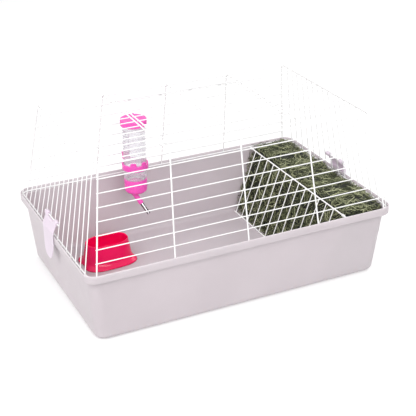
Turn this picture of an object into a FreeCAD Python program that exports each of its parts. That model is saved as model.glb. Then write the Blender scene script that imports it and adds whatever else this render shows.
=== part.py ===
import FreeCAD, Part
import os
import math

V = FreeCAD.Vector

# Frame: X along the length, Y to the back, Z up, origin on the floor under the middle of the tray.

# Tray
RIM_X = 400.0
RIM_Y = 258.0
RIM_Z = 186.0
RIM_RADIUS = 30.0
SKIRT_THICK = 2.5
SKIRT_BOTTOM_Z = 166.0
LEDGE_Z = 177.5
LEDGE_THICK = 2.5
FOOT_X = 374.0
FOOT_Y = 231.0
FOOT_RADIUS = 24.0
WALL_TOP_X = 390.0
WALL_TOP_Y = 248.0
WALL_TOP_RADIUS = 26.0
WALL_THICK = 3.0
FLOOR_THICK = 3.0
FOOT_EDGE_RADIUS = 14.0
FLOOR_EDGE_RADIUS = 11.0

# Wire sizes, as radii
UPRIGHT_R = 1.75
RAIL_R = 1.25
END_WIRE_R = 1.2
RING_R = 2.0
TOUCH_GAP = 0.03

# Wire top
BASE_X = 391.5
BASE_Y = 249.2
BASE_WIRE_Z = LEDGE_Z + RING_R + 0.1
BASE_RADIUS = 18.0
UPRIGHT_BASE_X = (-375.0, -187.5, 0.0, 187.5, 375.0)
UPRIGHT_TOP_X = (-341.0, -173.5, 0.0, 173.5, 341.0)
UPRIGHT_BASE_Y = BASE_Y + RING_R + UPRIGHT_R + TOUCH_GAP
UPRIGHT_TOP_Y = 206.0
UPRIGHT_FOOT_Z = 177.9
TOTAL_Z = 425.0
CROSS_Z = TOTAL_Z - UPRIGHT_R
ROOF_BEND_R = 6.0
TOP_RING_X = 345.0
TOP_RING_Y = 201.5
TOP_RING_RADIUS = 12.0
TOP_RING_Z = CROSS_Z - UPRIGHT_R - RING_R - TOUCH_GAP
RAIL_GAPS = 8
RAIL_OVERHANG = 1.8
FIXED_RAIL_OVERHANG = 4.0
END_WIRE_COUNT = 16
END_WIRE_PITCH = 31.0
END_WIRE_FAN = 0.82
END_BASE_X = BASE_X + RING_R + END_WIRE_R + TOUCH_GAP
END_TOP_X = TOP_RING_X + RING_R + END_WIRE_R + TOUCH_GAP
END_WIRE_FOOT_Z = 178.6
END_WIRE_TOP_Z = TOP_RING_Z + RING_R

# Roof
ROOF_WIRE_Z = CROSS_Z - UPRIGHT_R - RAIL_R - TOUCH_GAP
ROOF_PITCH = 30.0
DOOR_HALF_Y = 150.0
DOOR_POST_X = 173.5
FIXED_RAIL_Z = CROSS_Z - 2.0 * UPRIGHT_R - TOUCH_GAP

# Roof door
DOOR_FRAME_X = 164.0
DOOR_FRONT_Y = -158.0
DOOR_BACK_Y = 141.0
DOOR_FRAME_Z = CROSS_Z + 0.3
DOOR_WIRE_Z = DOOR_FRAME_Z - UPRIGHT_R - RAIL_R - TOUCH_GAP
SLEEVE_CLEARANCE = 0.06
SLEEVE_THICK = 1.6
SLEEVE_LENGTH = 9.0
SLEEVE_X = (-125.0, -42.0, 42.0, 125.0)
LIFT_LOOP_CENTRE_X = 62.0
LIFT_LOOP_HALF = 22.0
LIFT_LOOP_Y = 20.0

# Clips
CLIP_BAR_Z = 218.0
CLIP_BAR_R = 1.5
CLIP_BAR_HALF = 49.5
CLIP_BORE_CLEARANCE = 0.08
CLIP_EAR_R = 6.0
CLIP_EAR_Y = 31.0
CLIP_EAR_HALF = 8.0
CLIP_HALF_Y = 37.0
CLIP_FOOT_HALF_Y = 21.0
CLIP_FOOT_Z = 117.0
CLIP_GAP = 1.0
CLIP_THICK = 3.2
CLIP_HOOK_TOP_Z = 165.2

# Hay rack
RACK_PIVOT_X = 268.0
RACK_PIVOT_Z = BASE_WIRE_Z
RACK_FOOT_X = 207.0
RACK_FOOT_Z = 5.4
RACK_ROD_R = 1.75
RACK_WIRE_R = 1.25
RACK_WIRE_COUNT = 13
RACK_WIRE_FIRST_Y = 207.0
RACK_WIRE_PITCH = 33.6
RACK_ROD_HALF = 238.0
RACK_FOOT_HALF = 219.0
RACK_CLEARANCE = 0.06
RACK_EYE_R = 3.6
RACK_EYE_LENGTH = 6.0

# Bottle, standing on its own axis
BOTTLE_X = -108.0
BOTTLE_Y = 172.0
TUBE_R = 30.2
TUBE_THICK = 1.6
TUBE_BOTTOM_Z = 186.0
TUBE_TOP_Z = 352.0
NECK_R = 25.0
TOP_CAP_R = 34.0
TOP_CAP_BOTTOM_Z = 341.0
TOP_CAP_TOP_Z = 358.0
NOZZLE_TOP_Z = 372.0
BOTTOM_CAP_R = 29.6
BOTTOM_CAP_TOP_Z = 193.0
BOTTOM_CAP_LOW_Z = 158.0
BOTTOM_CAP_DOME = 6.0
RING_BOTTOM_Z = 222.0
RING_TOP_Z = 237.0
RING_TAB_Z = 246.0
RING_OUTER_R = 34.2
RING_CLEARANCE = 0.35
RING_TAB_ANGLES = (-119.0, -68.0)
RING_TAB_WIDTHS = (17.0, 13.0)
RING_TAB_THICK = 3.0
SPOUT_START_X = -116.0
SPOUT_START_Y = 172.0
SPOUT_START_RISE = 2.0
SPOUT_DIR = V(32.0, -28.0, -60.0)
SLEEVE_OUT = 37.0
SPOUT_OUT = 71.0
SLEEVE_R = 7.4
SPOUT_R = 4.6
SPOUT_BORE_R = 3.4
BALL_R = 3.3
SPOUT_LIP = 2.2
MOUTH_R = 2.8

# Bowl, a rounded-square food bowl with a flared foot that is pinched in at both ends
BOWL_X = -216.0
BOWL_Y = 119.0
BOWL_TURN = 3.0
BOWL_BOTTOM_Z = FLOOR_THICK + 0.05
BOWL_PINCH_SPREAD = 0.34
BOWL_POINTS = 48
# Each level is: height over the floor, half length, half depth, squareness, depth of the pinch
BOWL_LEVELS = (
    (0.0, 72.6, 54.6, 3.2, 7.0), (1.6, 74.0, 56.0, 3.2, 7.0), (4.0, 73.4, 55.4, 3.2, 7.0),
    (7.0, 69.5, 51.5, 2.9, 4.5), (12.0, 65.0, 47.5, 2.6, 2.0), (20.0, 62.6, 44.6, 2.5, 0.0),
    (40.0, 59.8, 39.4, 2.4, 0.0), (58.95, 57.0, 34.4, 2.4, 0.0))
BOWL_INSIDE = (
    (11.0, 34.0, 20.0, 2.2, 0.0), (16.0, 49.0, 31.0, 2.3, 0.0), (26.0, 57.8, 39.4, 2.4, 0.0),
    (60.0, 53.8, 31.2, 2.4, 0.0))

# Hay
HAY_LOW_Z = 6.0
HAY_TOP_Z = 188.0
HAY_CROWN = 10.0
HAY_CLEAR = 4.0

os.makedirs("parts", exist_ok=True)


def save(name, solids):
    shape = Part.makeCompound(solids) if len(solids) > 1 else solids[0]
    shape.exportStep("parts/" + name + ".step")
    print(name, len(shape.Solids))


def rod(start, end, radius):
    way = end.sub(start)
    return Part.makeCylinder(radius, way.Length, start, way)


def mix(a, b, t):
    return a.add(b.sub(a).multiply(t))


def rounded_outline(half_x, half_y, radius, z):
    # Closed wire of a rectangle with round corners, at one height.
    edges = []
    cx = half_x - radius
    cy = half_y - radius
    corners = ((cx, -cy, -90), (cx, cy, 0), (-cx, cy, 90), (-cx, -cy, 180))
    ends = []
    for x, y, turn in corners:
        pts = []
        for step in (0.0, 45.0, 90.0):
            a = math.radians(turn + step)
            pts.append(V(x + radius * math.cos(a), y + radius * math.sin(a), z))
        ends.append(pts)
    for k in range(4):
        edges.append(Part.Arc(ends[k][0], ends[k][1], ends[k][2]).toShape())
        edges.append(Part.makeLine(ends[k][2], ends[(k + 1) % 4][0]))
    return Part.Wire(edges)


def prism(half_x, half_y, radius, z0, z1):
    face = Part.Face(rounded_outline(half_x, half_y, radius, z0))
    return face.extrude(V(0, 0, z1 - z0))


def tapered(low, high):
    return Part.makeLoft([rounded_outline(*low), rounded_outline(*high)], True, True)


def low_edges(shape, z):
    return [e for e in shape.Edges if all(abs(v.Z - z) < 1e-4 for v in e.Vertexes)]


def make_tray():
    top = LEDGE_Z
    outer = tapered((FOOT_X, FOOT_Y, FOOT_RADIUS, 0), (WALL_TOP_X, WALL_TOP_Y, WALL_TOP_RADIUS, top))
    outer = outer.makeFillet(FOOT_EDGE_RADIUS, low_edges(outer, 0))
    slope_x = (WALL_TOP_X - FOOT_X) / top
    slope_y = (WALL_TOP_Y - FOOT_Y) / top
    floor_x = FOOT_X - WALL_THICK + slope_x * FLOOR_THICK
    floor_y = FOOT_Y - WALL_THICK + slope_y * FLOOR_THICK
    past = 1.0
    inner = tapered(
        (floor_x, floor_y, FOOT_RADIUS - WALL_THICK, FLOOR_THICK),
        (WALL_TOP_X - WALL_THICK + slope_x * past, WALL_TOP_Y - WALL_THICK + slope_y * past,
         WALL_TOP_RADIUS - WALL_THICK, top + past))
    inner = inner.makeFillet(FLOOR_EDGE_RADIUS, low_edges(inner, FLOOR_THICK))
    rim = prism(RIM_X, RIM_Y, RIM_RADIUS, SKIRT_BOTTOM_Z, RIM_Z)
    clear_x = RIM_X - SKIRT_THICK
    clear_y = RIM_Y - SKIRT_THICK
    clear_r = RIM_RADIUS - SKIRT_THICK
    rim = rim.cut(prism(clear_x, clear_y, clear_r, LEDGE_Z, RIM_Z + past))
    under = prism(clear_x, clear_y, clear_r, SKIRT_BOTTOM_Z - past, LEDGE_Z - LEDGE_THICK)
    rim = rim.cut(under)
    tray = outer.fuse(rim).cut(inner)
    return tray.removeSplitter()


def ring_of_wire(half_x, half_y, radius, z, wire_r):
    # Four straight wires and four corner bends, end to end.
    pieces = []
    cx = half_x - radius
    cy = half_y - radius
    pieces.append(rod(V(-cx, -half_y, z), V(cx, -half_y, z), wire_r))
    pieces.append(rod(V(-cx, half_y, z), V(cx, half_y, z), wire_r))
    pieces.append(rod(V(-half_x, -cy, z), V(-half_x, cy, z), wire_r))
    pieces.append(rod(V(half_x, -cy, z), V(half_x, cy, z), wire_r))
    for sx, sy in ((1, 1), (-1, 1), (-1, -1), (1, -1)):
        bend = Part.makeTorus(radius, wire_r, V(0, 0, 0), V(0, 0, 1))
        reach = radius + wire_r + 1
        corner = Part.makeBox(reach, reach, 2 * wire_r + 2, V(0, 0, -wire_r - 1))
        bend = bend.common(corner)
        if sx * sy > 0:
            bend.rotate(V(0, 0, 0), V(0, 0, 1), 0 if sx > 0 else 180)
        else:
            bend.rotate(V(0, 0, 0), V(0, 0, 1), 90 if sx < 0 else 270)
        bend.translate(V(sx * cx, sy * cy, z))
        pieces.append(bend)
    return pieces


def upright_path(k, side):
    # Bottom point and the sharp roof corner of one leaning upright.
    low = V(UPRIGHT_BASE_X[k], side * UPRIGHT_BASE_Y, BASE_WIRE_Z)
    high = V(UPRIGHT_TOP_X[k], side * UPRIGHT_TOP_Y, CROSS_Z)
    slope = high.sub(low)
    foot = low.add(slope.multiply((UPRIGHT_FOOT_Z - BASE_WIRE_Z) / (CROSS_Z - BASE_WIRE_Z)))
    return foot, high


def make_upright(k, side):
    foot, corner = upright_path(k, side)
    along = corner.sub(foot).normalize()
    inward = V(0, -side, 0)
    turn = along.getAngle(inward)
    cut = ROOF_BEND_R * math.tan(turn / 2.0)
    bend_start = corner.sub(V(along).multiply(cut))
    bend_end = corner.add(V(inward).multiply(cut))
    middle_way = V(inward).sub(along).normalize()
    centre = corner.add(V(middle_way).multiply(ROOF_BEND_R / math.cos(turn / 2.0)))
    bend_mid = centre.sub(V(middle_way).multiply(ROOF_BEND_R))
    line = Part.makeLine(foot, bend_start)
    arc = Part.Arc(bend_start, bend_mid, bend_end).toShape()
    ring = Part.Wire(Part.makeCircle(UPRIGHT_R, foot, along))
    solid = Part.Wire([line, arc]).makePipeShell([ring], True, True, 1)
    return solid, bend_end


def make_uprights(side):
    solids = []
    ends = []
    for k in range(5):
        solid, end = make_upright(k, side)
        solids.append(solid)
        ends.append(end)
    return solids, ends


def make_rails(side):
    # Long wires behind the uprights, evenly spaced from base to roof.
    solids = []
    low = V(UPRIGHT_BASE_X[0], side * UPRIGHT_BASE_Y, BASE_WIRE_Z)
    rise = CROSS_Z - BASE_WIRE_Z
    run = UPRIGHT_BASE_Y - UPRIGHT_TOP_Y
    length = math.hypot(rise, run)
    offset = UPRIGHT_R + RAIL_R + TOUCH_GAP
    in_y = -side * offset * rise / length
    in_z = -offset * run / length
    for step in range(1, RAIL_GAPS):
        t = step / RAIL_GAPS
        half = abs(low.x) + (abs(UPRIGHT_TOP_X[0]) - abs(low.x)) * t + RAIL_OVERHANG
        y = side * (UPRIGHT_BASE_Y - run * t) + in_y
        z = BASE_WIRE_Z + rise * t + in_z
        solids.append(rod(V(-half, y, z), V(half, y, z), RAIL_R))
    return solids


def end_wire_x(z):
    t = (z - BASE_WIRE_Z) / (TOP_RING_Z - BASE_WIRE_Z)
    return END_BASE_X + (END_TOP_X - END_BASE_X) * t


def make_end_wires(side):
    solids = []
    first = -(END_WIRE_COUNT - 1) / 2.0 * END_WIRE_PITCH
    for k in range(END_WIRE_COUNT):
        y = first + k * END_WIRE_PITCH
        foot = V(side * end_wire_x(END_WIRE_FOOT_Z), y, END_WIRE_FOOT_Z)
        head = V(side * end_wire_x(END_WIRE_TOP_Z), y * END_WIRE_FAN, END_WIRE_TOP_Z)
        solids.append(rod(foot, head, END_WIRE_R))
    return solids


def clip_bar_x():
    lean = (END_BASE_X - END_TOP_X) / (TOP_RING_Z - BASE_WIRE_Z)
    off = (END_WIRE_R + CLIP_BAR_R + TOUCH_GAP) * math.sqrt(1 + lean * lean)
    return end_wire_x(CLIP_BAR_Z) + off


def make_clip_bar(side):
    x = side * clip_bar_x()
    return rod(V(x, -CLIP_BAR_HALF, CLIP_BAR_Z), V(x, CLIP_BAR_HALF, CLIP_BAR_Z), CLIP_BAR_R)


def profile_solid(points, y0, y1):
    wire = Part.makePolygon([V(x, y0, z) for x, z in points] + [V(points[0][0], y0, points[0][1])])
    return Part.Face(wire).extrude(V(0, y1 - y0, 0))


def make_clip(side):
    # Drawn for the right end, then turned half a turn for the left.
    bar = clip_bar_x()
    inner = RIM_X + CLIP_GAP
    outer = inner + CLIP_THICK
    ear_out = bar + CLIP_EAR_R
    neck = CLIP_BAR_Z - 3.0
    body = [
        (bar + 1.5, neck), (bar + 5.7, neck), (outer, RIM_Z + 8.0), (outer, CLIP_HOOK_TOP_Z - 12.0),
        (outer + 2.5, CLIP_FOOT_Z), (outer - 0.2, CLIP_FOOT_Z), (inner, CLIP_HOOK_TOP_Z - 11.0),
        (inner, RIM_Z + 7.0)]
    lever = profile_solid(body, -CLIP_HALF_Y, CLIP_HALF_Y)
    reach = 20.0
    outline = [
        (-CLIP_HALF_Y, CLIP_BAR_Z), (CLIP_HALF_Y, CLIP_BAR_Z), (CLIP_HALF_Y, SKIRT_BOTTOM_Z),
        (CLIP_FOOT_HALF_Y, CLIP_FOOT_Z), (-CLIP_FOOT_HALF_Y, CLIP_FOOT_Z), (-CLIP_HALF_Y, SKIRT_BOTTOM_Z)]
    wire = Part.makePolygon([V(bar - reach, y, z) for y, z in outline + outline[:1]])
    keep = Part.Face(wire).extrude(V(3 * reach, 0, 0))
    lever = lever.common(keep)
    foot_edges = []
    for e in lever.Edges:
        a = e.Vertexes[0].Point
        b = e.Vertexes[-1].Point
        if abs(a.z - CLIP_FOOT_Z) < 0.01 and abs(b.z - CLIP_FOOT_Z) < 0.01 and abs(a.y - b.y) < 0.01:
            foot_edges.append(e)
    if foot_edges:
        lever = lever.makeFillet(9.0, foot_edges)
    window = Part.makeBox(3 * reach, 2 * (CLIP_EAR_Y - CLIP_EAR_HALF), CLIP_EAR_R + 14.0,
                          V(bar - reach, -(CLIP_EAR_Y - CLIP_EAR_HALF), CLIP_BAR_Z - 16.0))
    lever = lever.cut(window)
    hook = profile_solid(
        [(inner + 0.5, CLIP_HOOK_TOP_Z), (inner - 4.6, CLIP_HOOK_TOP_Z - 0.4),
         (inner - 4.6, CLIP_HOOK_TOP_Z - 3.0), (inner + 0.5, CLIP_HOOK_TOP_Z - 9.0)],
        -CLIP_HALF_Y + 8.0, CLIP_HALF_Y - 8.0)
    clip = lever.fuse(hook)
    for s in (-1, 1):
        y0 = s * CLIP_EAR_Y - CLIP_EAR_HALF
        ear = Part.makeCylinder(CLIP_EAR_R, 2 * CLIP_EAR_HALF, V(bar, y0, CLIP_BAR_Z), V(0, 1, 0))
        clip = clip.fuse(ear)
    bore = Part.makeCylinder(CLIP_BAR_R + CLIP_BORE_CLEARANCE, 4 * CLIP_HALF_Y,
                             V(bar, -2 * CLIP_HALF_Y, CLIP_BAR_Z), V(0, 1, 0))
    clip = clip.cut(bore).removeSplitter()
    if side < 0:
        clip.rotate(V(0, 0, 0), V(0, 0, 1), 180)
    return clip


def make_cross_wires(front_ends, back_ends):
    # Roof wires that carry on from each front upright to the back one.
    solids = []
    for k in range(5):
        if k != 2:
            solids.append(rod(front_ends[k], back_ends[k], UPRIGHT_R))
    rail_touch = UPRIGHT_R * 0.9
    front_stop = V(front_ends[2].x, -DOOR_HALF_Y - rail_touch - 12.0, CROSS_Z)
    back_stop = V(back_ends[2].x, DOOR_HALF_Y + rail_touch, CROSS_Z)
    solids.append(rod(front_ends[2], front_stop, UPRIGHT_R))
    solids.append(rod(back_stop, back_ends[2], UPRIGHT_R))
    return solids


def roof_rows():
    rows = []
    n = int(TOP_RING_Y // ROOF_PITCH)
    for k in range(-n, n + 1):
        rows.append(k * ROOF_PITCH)
    return rows


def make_roof_wires():
    left = []
    right = []
    front = []
    back = []
    reach = TOP_RING_X - RING_R - TOUCH_GAP
    inner = DOOR_POST_X - UPRIGHT_R
    for y in roof_rows():
        near = inner
        if abs(abs(y) - DOOR_HALF_Y) < UPRIGHT_R + RAIL_R:
            near = DOOR_POST_X + FIXED_RAIL_OVERHANG + TOUCH_GAP
        left.append(rod(V(-reach, y, ROOF_WIRE_Z), V(-near, y, ROOF_WIRE_Z), RAIL_R))
        right.append(rod(V(near, y, ROOF_WIRE_Z), V(reach, y, ROOF_WIRE_Z), RAIL_R))
        if y < -DOOR_HALF_Y - ROOF_PITCH * 0.8:
            front.append(rod(V(-inner + 0.2, y, ROOF_WIRE_Z), V(inner - 0.2, y, ROOF_WIRE_Z), RAIL_R))
        if y > DOOR_HALF_Y + ROOF_PITCH * 0.5:
            back.append(rod(V(-inner + 0.2, y, ROOF_WIRE_Z), V(inner - 0.2, y, ROOF_WIRE_Z), RAIL_R))
    return left, right, front, back


def fixed_rail(y, half):
    return rod(V(-half, y, FIXED_RAIL_Z), V(half, y, FIXED_RAIL_Z), UPRIGHT_R)


def make_door_frame():
    x = DOOR_FRAME_X
    z = DOOR_FRAME_Z
    r = UPRIGHT_R
    solids = []
    solids.append(rod(V(-x, DOOR_FRONT_Y, z), V(x, DOOR_FRONT_Y, z), r))
    solids.append(rod(V(-x, DOOR_BACK_Y, z), V(x, DOOR_BACK_Y, z), r))
    for s in (-1, 1):
        solids.append(rod(V(s * x, DOOR_FRONT_Y + r, z), V(s * x, DOOR_BACK_Y - r, z), r))
    mid = rod(V(0, DOOR_FRONT_Y + r, z), V(0, DOOR_BACK_Y - r, z), r)
    solids.append(mid)
    return solids


def make_door_wires():
    solids = []
    for y in roof_rows():
        if abs(y) < DOOR_HALF_Y - 0.5 * ROOF_PITCH:
            half = DOOR_FRAME_X + 1.0
            solids.append(rod(V(-half, y, DOOR_WIRE_Z), V(half, y, DOOR_WIRE_Z), RAIL_R))
    return solids


def make_door_sleeves():
    # Each sleeve goes round the hinge rail, with a short arm to the door frame.
    solids = []
    bore = UPRIGHT_R + SLEEVE_CLEARANCE
    outer = bore + SLEEVE_THICK
    for x in SLEEVE_X:
        start = V(x - SLEEVE_LENGTH / 2.0, DOOR_HALF_Y, FIXED_RAIL_Z)
        sleeve = Part.makeCylinder(outer, SLEEVE_LENGTH, start, V(1, 0, 0))
        arm_y = DOOR_BACK_Y + UPRIGHT_R + TOUCH_GAP
        top = DOOR_FRAME_Z + 0.6
        low = DOOR_FRAME_Z - 1.4
        arm = Part.makeBox(SLEEVE_LENGTH - 3.0, DOOR_HALF_Y - arm_y, top - low,
                           V(x - SLEEVE_LENGTH / 2.0 + 1.5, arm_y, low))
        hole = Part.makeCylinder(bore, SLEEVE_LENGTH + 2, start.add(V(-1, 0, 0)), V(1, 0, 0))
        solids.append(sleeve.fuse(arm).cut(hole).removeSplitter())
    return solids


def make_lift_loop():
    left = LIFT_LOOP_CENTRE_X - LIFT_LOOP_HALF
    right = LIFT_LOOP_CENTRE_X + LIFT_LOOP_HALF
    z = DOOR_FRAME_Z
    near = DOOR_FRONT_Y - UPRIGHT_R - TOUCH_GAP
    far = near - LIFT_LOOP_Y
    wire_r = 1.5
    bend = 8.0
    a = V(left, near, z)
    b = V(left, far + bend, z)
    c = V(left + bend, far, z)
    d = V(right - bend, far, z)
    e = V(right, far + bend, z)
    f = V(right, near, z)
    off = bend * (1 - math.sqrt(0.5))
    arc_1 = Part.Arc(b, V(left + off, far + off, z), c).toShape()
    arc_2 = Part.Arc(d, V(right - off, far + off, z), e).toShape()
    path = Part.Wire([Part.makeLine(a, b), arc_1, Part.makeLine(c, d), arc_2, Part.makeLine(e, f)])
    ring = Part.Wire(Part.makeCircle(wire_r, a, V(0, -1, 0)))
    return path.makePipeShell([ring], True, True, 1)


def rack_point(t, y, side_off):
    foot = V(RACK_FOOT_X, y, RACK_FOOT_Z)
    top = V(RACK_PIVOT_X, y, RACK_PIVOT_Z)
    along = top.sub(foot)
    across = V(-along.z, 0, along.x).normalize()
    return mix(foot, top, t).add(across.multiply(side_off))


def make_rack():
    top = rod(V(RACK_PIVOT_X, -RACK_ROD_HALF, RACK_PIVOT_Z), V(RACK_PIVOT_X, RACK_ROD_HALF, RACK_PIVOT_Z),
              RACK_ROD_R)
    foot = rod(V(RACK_FOOT_X, -RACK_FOOT_HALF, RACK_FOOT_Z), V(RACK_FOOT_X, RACK_FOOT_HALF, RACK_FOOT_Z),
               RACK_ROD_R)
    wires = []
    off = RACK_ROD_R + RACK_WIRE_R + TOUCH_GAP
    for k in range(RACK_WIRE_COUNT):
        y = RACK_WIRE_FIRST_Y - k * RACK_WIRE_PITCH
        wires.append(rod(rack_point(0.0, y, off), rack_point(1.0, y, off), RACK_WIRE_R))
    return top, foot, wires


def make_rack_hangers():
    solids = []
    bore = RACK_ROD_R + RACK_CLEARANCE
    wire_in = BASE_Y - RING_R - TOUCH_GAP
    for s in (-1, 1):
        y = s * (RACK_ROD_HALF - RACK_EYE_LENGTH)
        way = V(0, s, 0)
        eye = Part.makeCylinder(RACK_EYE_R, RACK_EYE_LENGTH, V(RACK_PIVOT_X, y, RACK_PIVOT_Z), way)
        stub_start = V(RACK_PIVOT_X, y + s * RACK_EYE_LENGTH, RACK_PIVOT_Z)
        stub = rod(stub_start.add(V(0, s * 0.6, 0)), V(RACK_PIVOT_X, s * wire_in, RACK_PIVOT_Z), 2.0)
        cap = Part.makeCylinder(RACK_EYE_R, 1.2, stub_start, way)
        hole = Part.makeCylinder(bore, RACK_EYE_LENGTH + 1.3, V(RACK_PIVOT_X, y - s, RACK_PIVOT_Z), way)
        solids.append(eye.fuse(cap).fuse(stub).cut(hole).removeSplitter())
    return solids


def turned(points, x, y):
    wire = Part.makePolygon([V(r, 0, z) for r, z in points + points[:1]])
    solid = Part.Face(wire).revolve(V(0, 0, 0), V(0, 0, 1), 360)
    solid.translate(V(x, y, 0))
    return solid


def make_tube():
    r = TUBE_R
    t = TUBE_THICK
    neck = NECK_R
    shoulder = BOTTOM_CAP_TOP_Z + 0.4
    points = [
        (neck, TUBE_BOTTOM_Z), (neck, shoulder), (r - 1.0, shoulder), (r, shoulder + 2.0),
        (r, TUBE_TOP_Z), (r - t, TUBE_TOP_Z), (r - t, shoulder + t), (neck - t, shoulder + t - 0.8),
        (neck - t, TUBE_BOTTOM_Z)]
    return turned(points, BOTTLE_X, BOTTLE_Y)


def make_top_cap():
    r = TOP_CAP_R
    low = TOP_CAP_BOTTOM_Z
    top = TOP_CAP_TOP_Z
    bore = TUBE_R + 0.05
    roof = TUBE_TOP_Z + 0.1
    points = [
        (bore, low), (r - 0.6, low), (r, low + 0.6), (r, top - 1.6), (r - 1.6, top), (5.2, top),
        (4.6, top + 1.6), (2.2, NOZZLE_TOP_Z - 0.8), (1.4, NOZZLE_TOP_Z), (0, NOZZLE_TOP_Z),
        (0, roof), (bore, roof)]
    cap = turned(points, BOTTLE_X, BOTTLE_Y)
    ribs = 36
    for k in range(ribs):
        a = 2 * math.pi * k / ribs
        x = BOTTLE_X + (r + 0.25) * math.cos(a)
        y = BOTTLE_Y + (r + 0.25) * math.sin(a)
        groove = Part.makeCylinder(0.9, top - low - 6.0, V(x, y, low + 3.0), V(0, 0, 1))
        cap = cap.cut(groove)
    return cap


def spout_axis():
    way = V(SPOUT_DIR).normalize()
    start = V(SPOUT_START_X, SPOUT_START_Y, BOTTOM_CAP_LOW_Z - BOTTOM_CAP_DOME + SPOUT_START_RISE)
    return start, way


def along_spout(distance):
    start, way = spout_axis()
    return start.add(V(way).multiply(distance))


def make_bottom_cap():
    r = BOTTOM_CAP_R
    top = BOTTOM_CAP_TOP_Z
    low = BOTTOM_CAP_LOW_Z
    bore = NECK_R + 0.05
    seat = TUBE_BOTTOM_Z - 2.2
    points = [
        (bore, top), (r, top), (r, low + 4.0), (r - 1.6, low + 1.4), (r - 5.0, low - 1.2),
        (r - 12.0, low - 4.0), (0, low - BOTTOM_CAP_DOME), (0, low - 2.0), (bore - 4.0, low + 3.0),
        (bore - 4.0, seat), (bore, seat)]
    cap = turned(points, BOTTLE_X, BOTTLE_Y)
    start, way = spout_axis()
    stem = Part.makeCylinder(SLEEVE_R + 0.02, 40.0, start.sub(V(way).multiply(8.0)), way)
    return cap.cut(stem)


def make_seal():
    bore = NECK_R - 4.6
    outer = NECK_R - 0.1
    points = [(bore, TUBE_BOTTOM_Z - 2.1), (outer, TUBE_BOTTOM_Z - 2.1), (outer, TUBE_BOTTOM_Z - 0.1),
              (bore, TUBE_BOTTOM_Z - 0.1)]
    return turned(points, BOTTLE_X, BOTTLE_Y)


def make_spout_sleeve():
    way = spout_axis()[1]
    back = 4.0
    base = along_spout(-back)
    body = Part.makeCone(SLEEVE_R, SLEEVE_R - 0.8, SLEEVE_OUT + back, base, way)
    hole = Part.makeCylinder(SPOUT_R + 0.03, SLEEVE_OUT + back + 4, along_spout(-back - 2), way)
    inside = Part.makeCylinder(BOTTOM_CAP_R - 6.0, 30.0, V(BOTTLE_X, BOTTLE_Y, BOTTOM_CAP_LOW_Z + 3.4),
                               V(0, 0, 1))
    return body.cut(hole).cut(inside)


def make_spout_tube():
    start, way = spout_axis()
    length = SPOUT_OUT + 2.0
    base = along_spout(-2.0)
    tube = Part.makeCylinder(SPOUT_R, length, base, way)
    hole = Part.makeCylinder(SPOUT_BORE_R, length - SPOUT_LIP + 1.0, base.sub(V(way)), way)
    mouth = Part.makeCylinder(MOUTH_R, 6.0, along_spout(SPOUT_OUT - 3.0), way)
    return tube.cut(hole).cut(mouth)


def ball_centre():
    seat = math.sqrt(BALL_R ** 2 - MOUTH_R ** 2)
    return along_spout(SPOUT_OUT - SPOUT_LIP - seat - 0.05)


def make_ball():
    return Part.makeSphere(BALL_R, ball_centre())



def make_holder():
    # Split band that grips the tube, with two small tabs standing up from it.
    bore = TUBE_R + RING_CLEARANCE
    band = turned([(bore, RING_BOTTOM_Z), (RING_OUTER_R, RING_BOTTOM_Z), (RING_OUTER_R, RING_TOP_Z),
                   (bore, RING_TOP_Z)], BOTTLE_X, BOTTLE_Y)
    solid = band
    for angle, width in zip(RING_TAB_ANGLES, RING_TAB_WIDTHS):
        low = RING_BOTTOM_Z + 4.0
        tab = Part.makeBox(RING_TAB_THICK + 1.0, width, RING_TAB_Z - low, V(bore - 0.6, -width / 2.0, low))
        tab.rotate(V(0, 0, 0), V(0, 0, 1), angle)
        tab.translate(V(BOTTLE_X, BOTTLE_Y, 0))
        outer = Part.makeCylinder(RING_OUTER_R, 60, V(BOTTLE_X, BOTTLE_Y, RING_BOTTOM_Z), V(0, 0, 1))
        inner = Part.makeCylinder(bore, 60, V(BOTTLE_X, BOTTLE_Y, RING_BOTTOM_Z), V(0, 0, 1))
        solid = solid.fuse(tab.common(outer).cut(inner))
    return solid.removeSplitter()


def make_hanger():
    # Plate from the band to the back wires, with a lip over one wire.
    run = UPRIGHT_BASE_Y - UPRIGHT_TOP_Y
    rise = CROSS_Z - BASE_WIRE_Z
    offset = UPRIGHT_R + RAIL_R + TOUCH_GAP
    length = math.hypot(rise, run)
    step = 2
    wire_y = UPRIGHT_BASE_Y - run * step / RAIL_GAPS - offset * rise / length
    wire_z = BASE_WIRE_Z + rise * step / RAIL_GAPS - offset * run / length
    start_y = BOTTLE_Y + RING_OUTER_R + TOUCH_GAP
    grip = RAIL_R + 0.03
    wall = 1.8
    plate_end = wire_y - grip
    half = 10.0
    arm = Part.makeBox(2 * half, plate_end - start_y, 3.0, V(BOTTLE_X - half, start_y, RING_BOTTOM_Z + 3.0))
    plate = Part.makeBox(2 * half, wall, wire_z + grip + wall - RING_BOTTOM_Z - 3.0,
                         V(BOTTLE_X - half, plate_end - wall, RING_BOTTOM_Z + 3.0))
    lip = Part.makeBox(2 * half, wall + 2 * grip + wall, wall,
                       V(BOTTLE_X - half, plate_end - wall, wire_z + grip))
    drop = Part.makeBox(2 * half, wall, 2 * grip + wall, V(BOTTLE_X - half, wire_y + grip, wire_z - grip))
    return arm.fuse(plate).fuse(lip).fuse(drop).removeSplitter()


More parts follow.
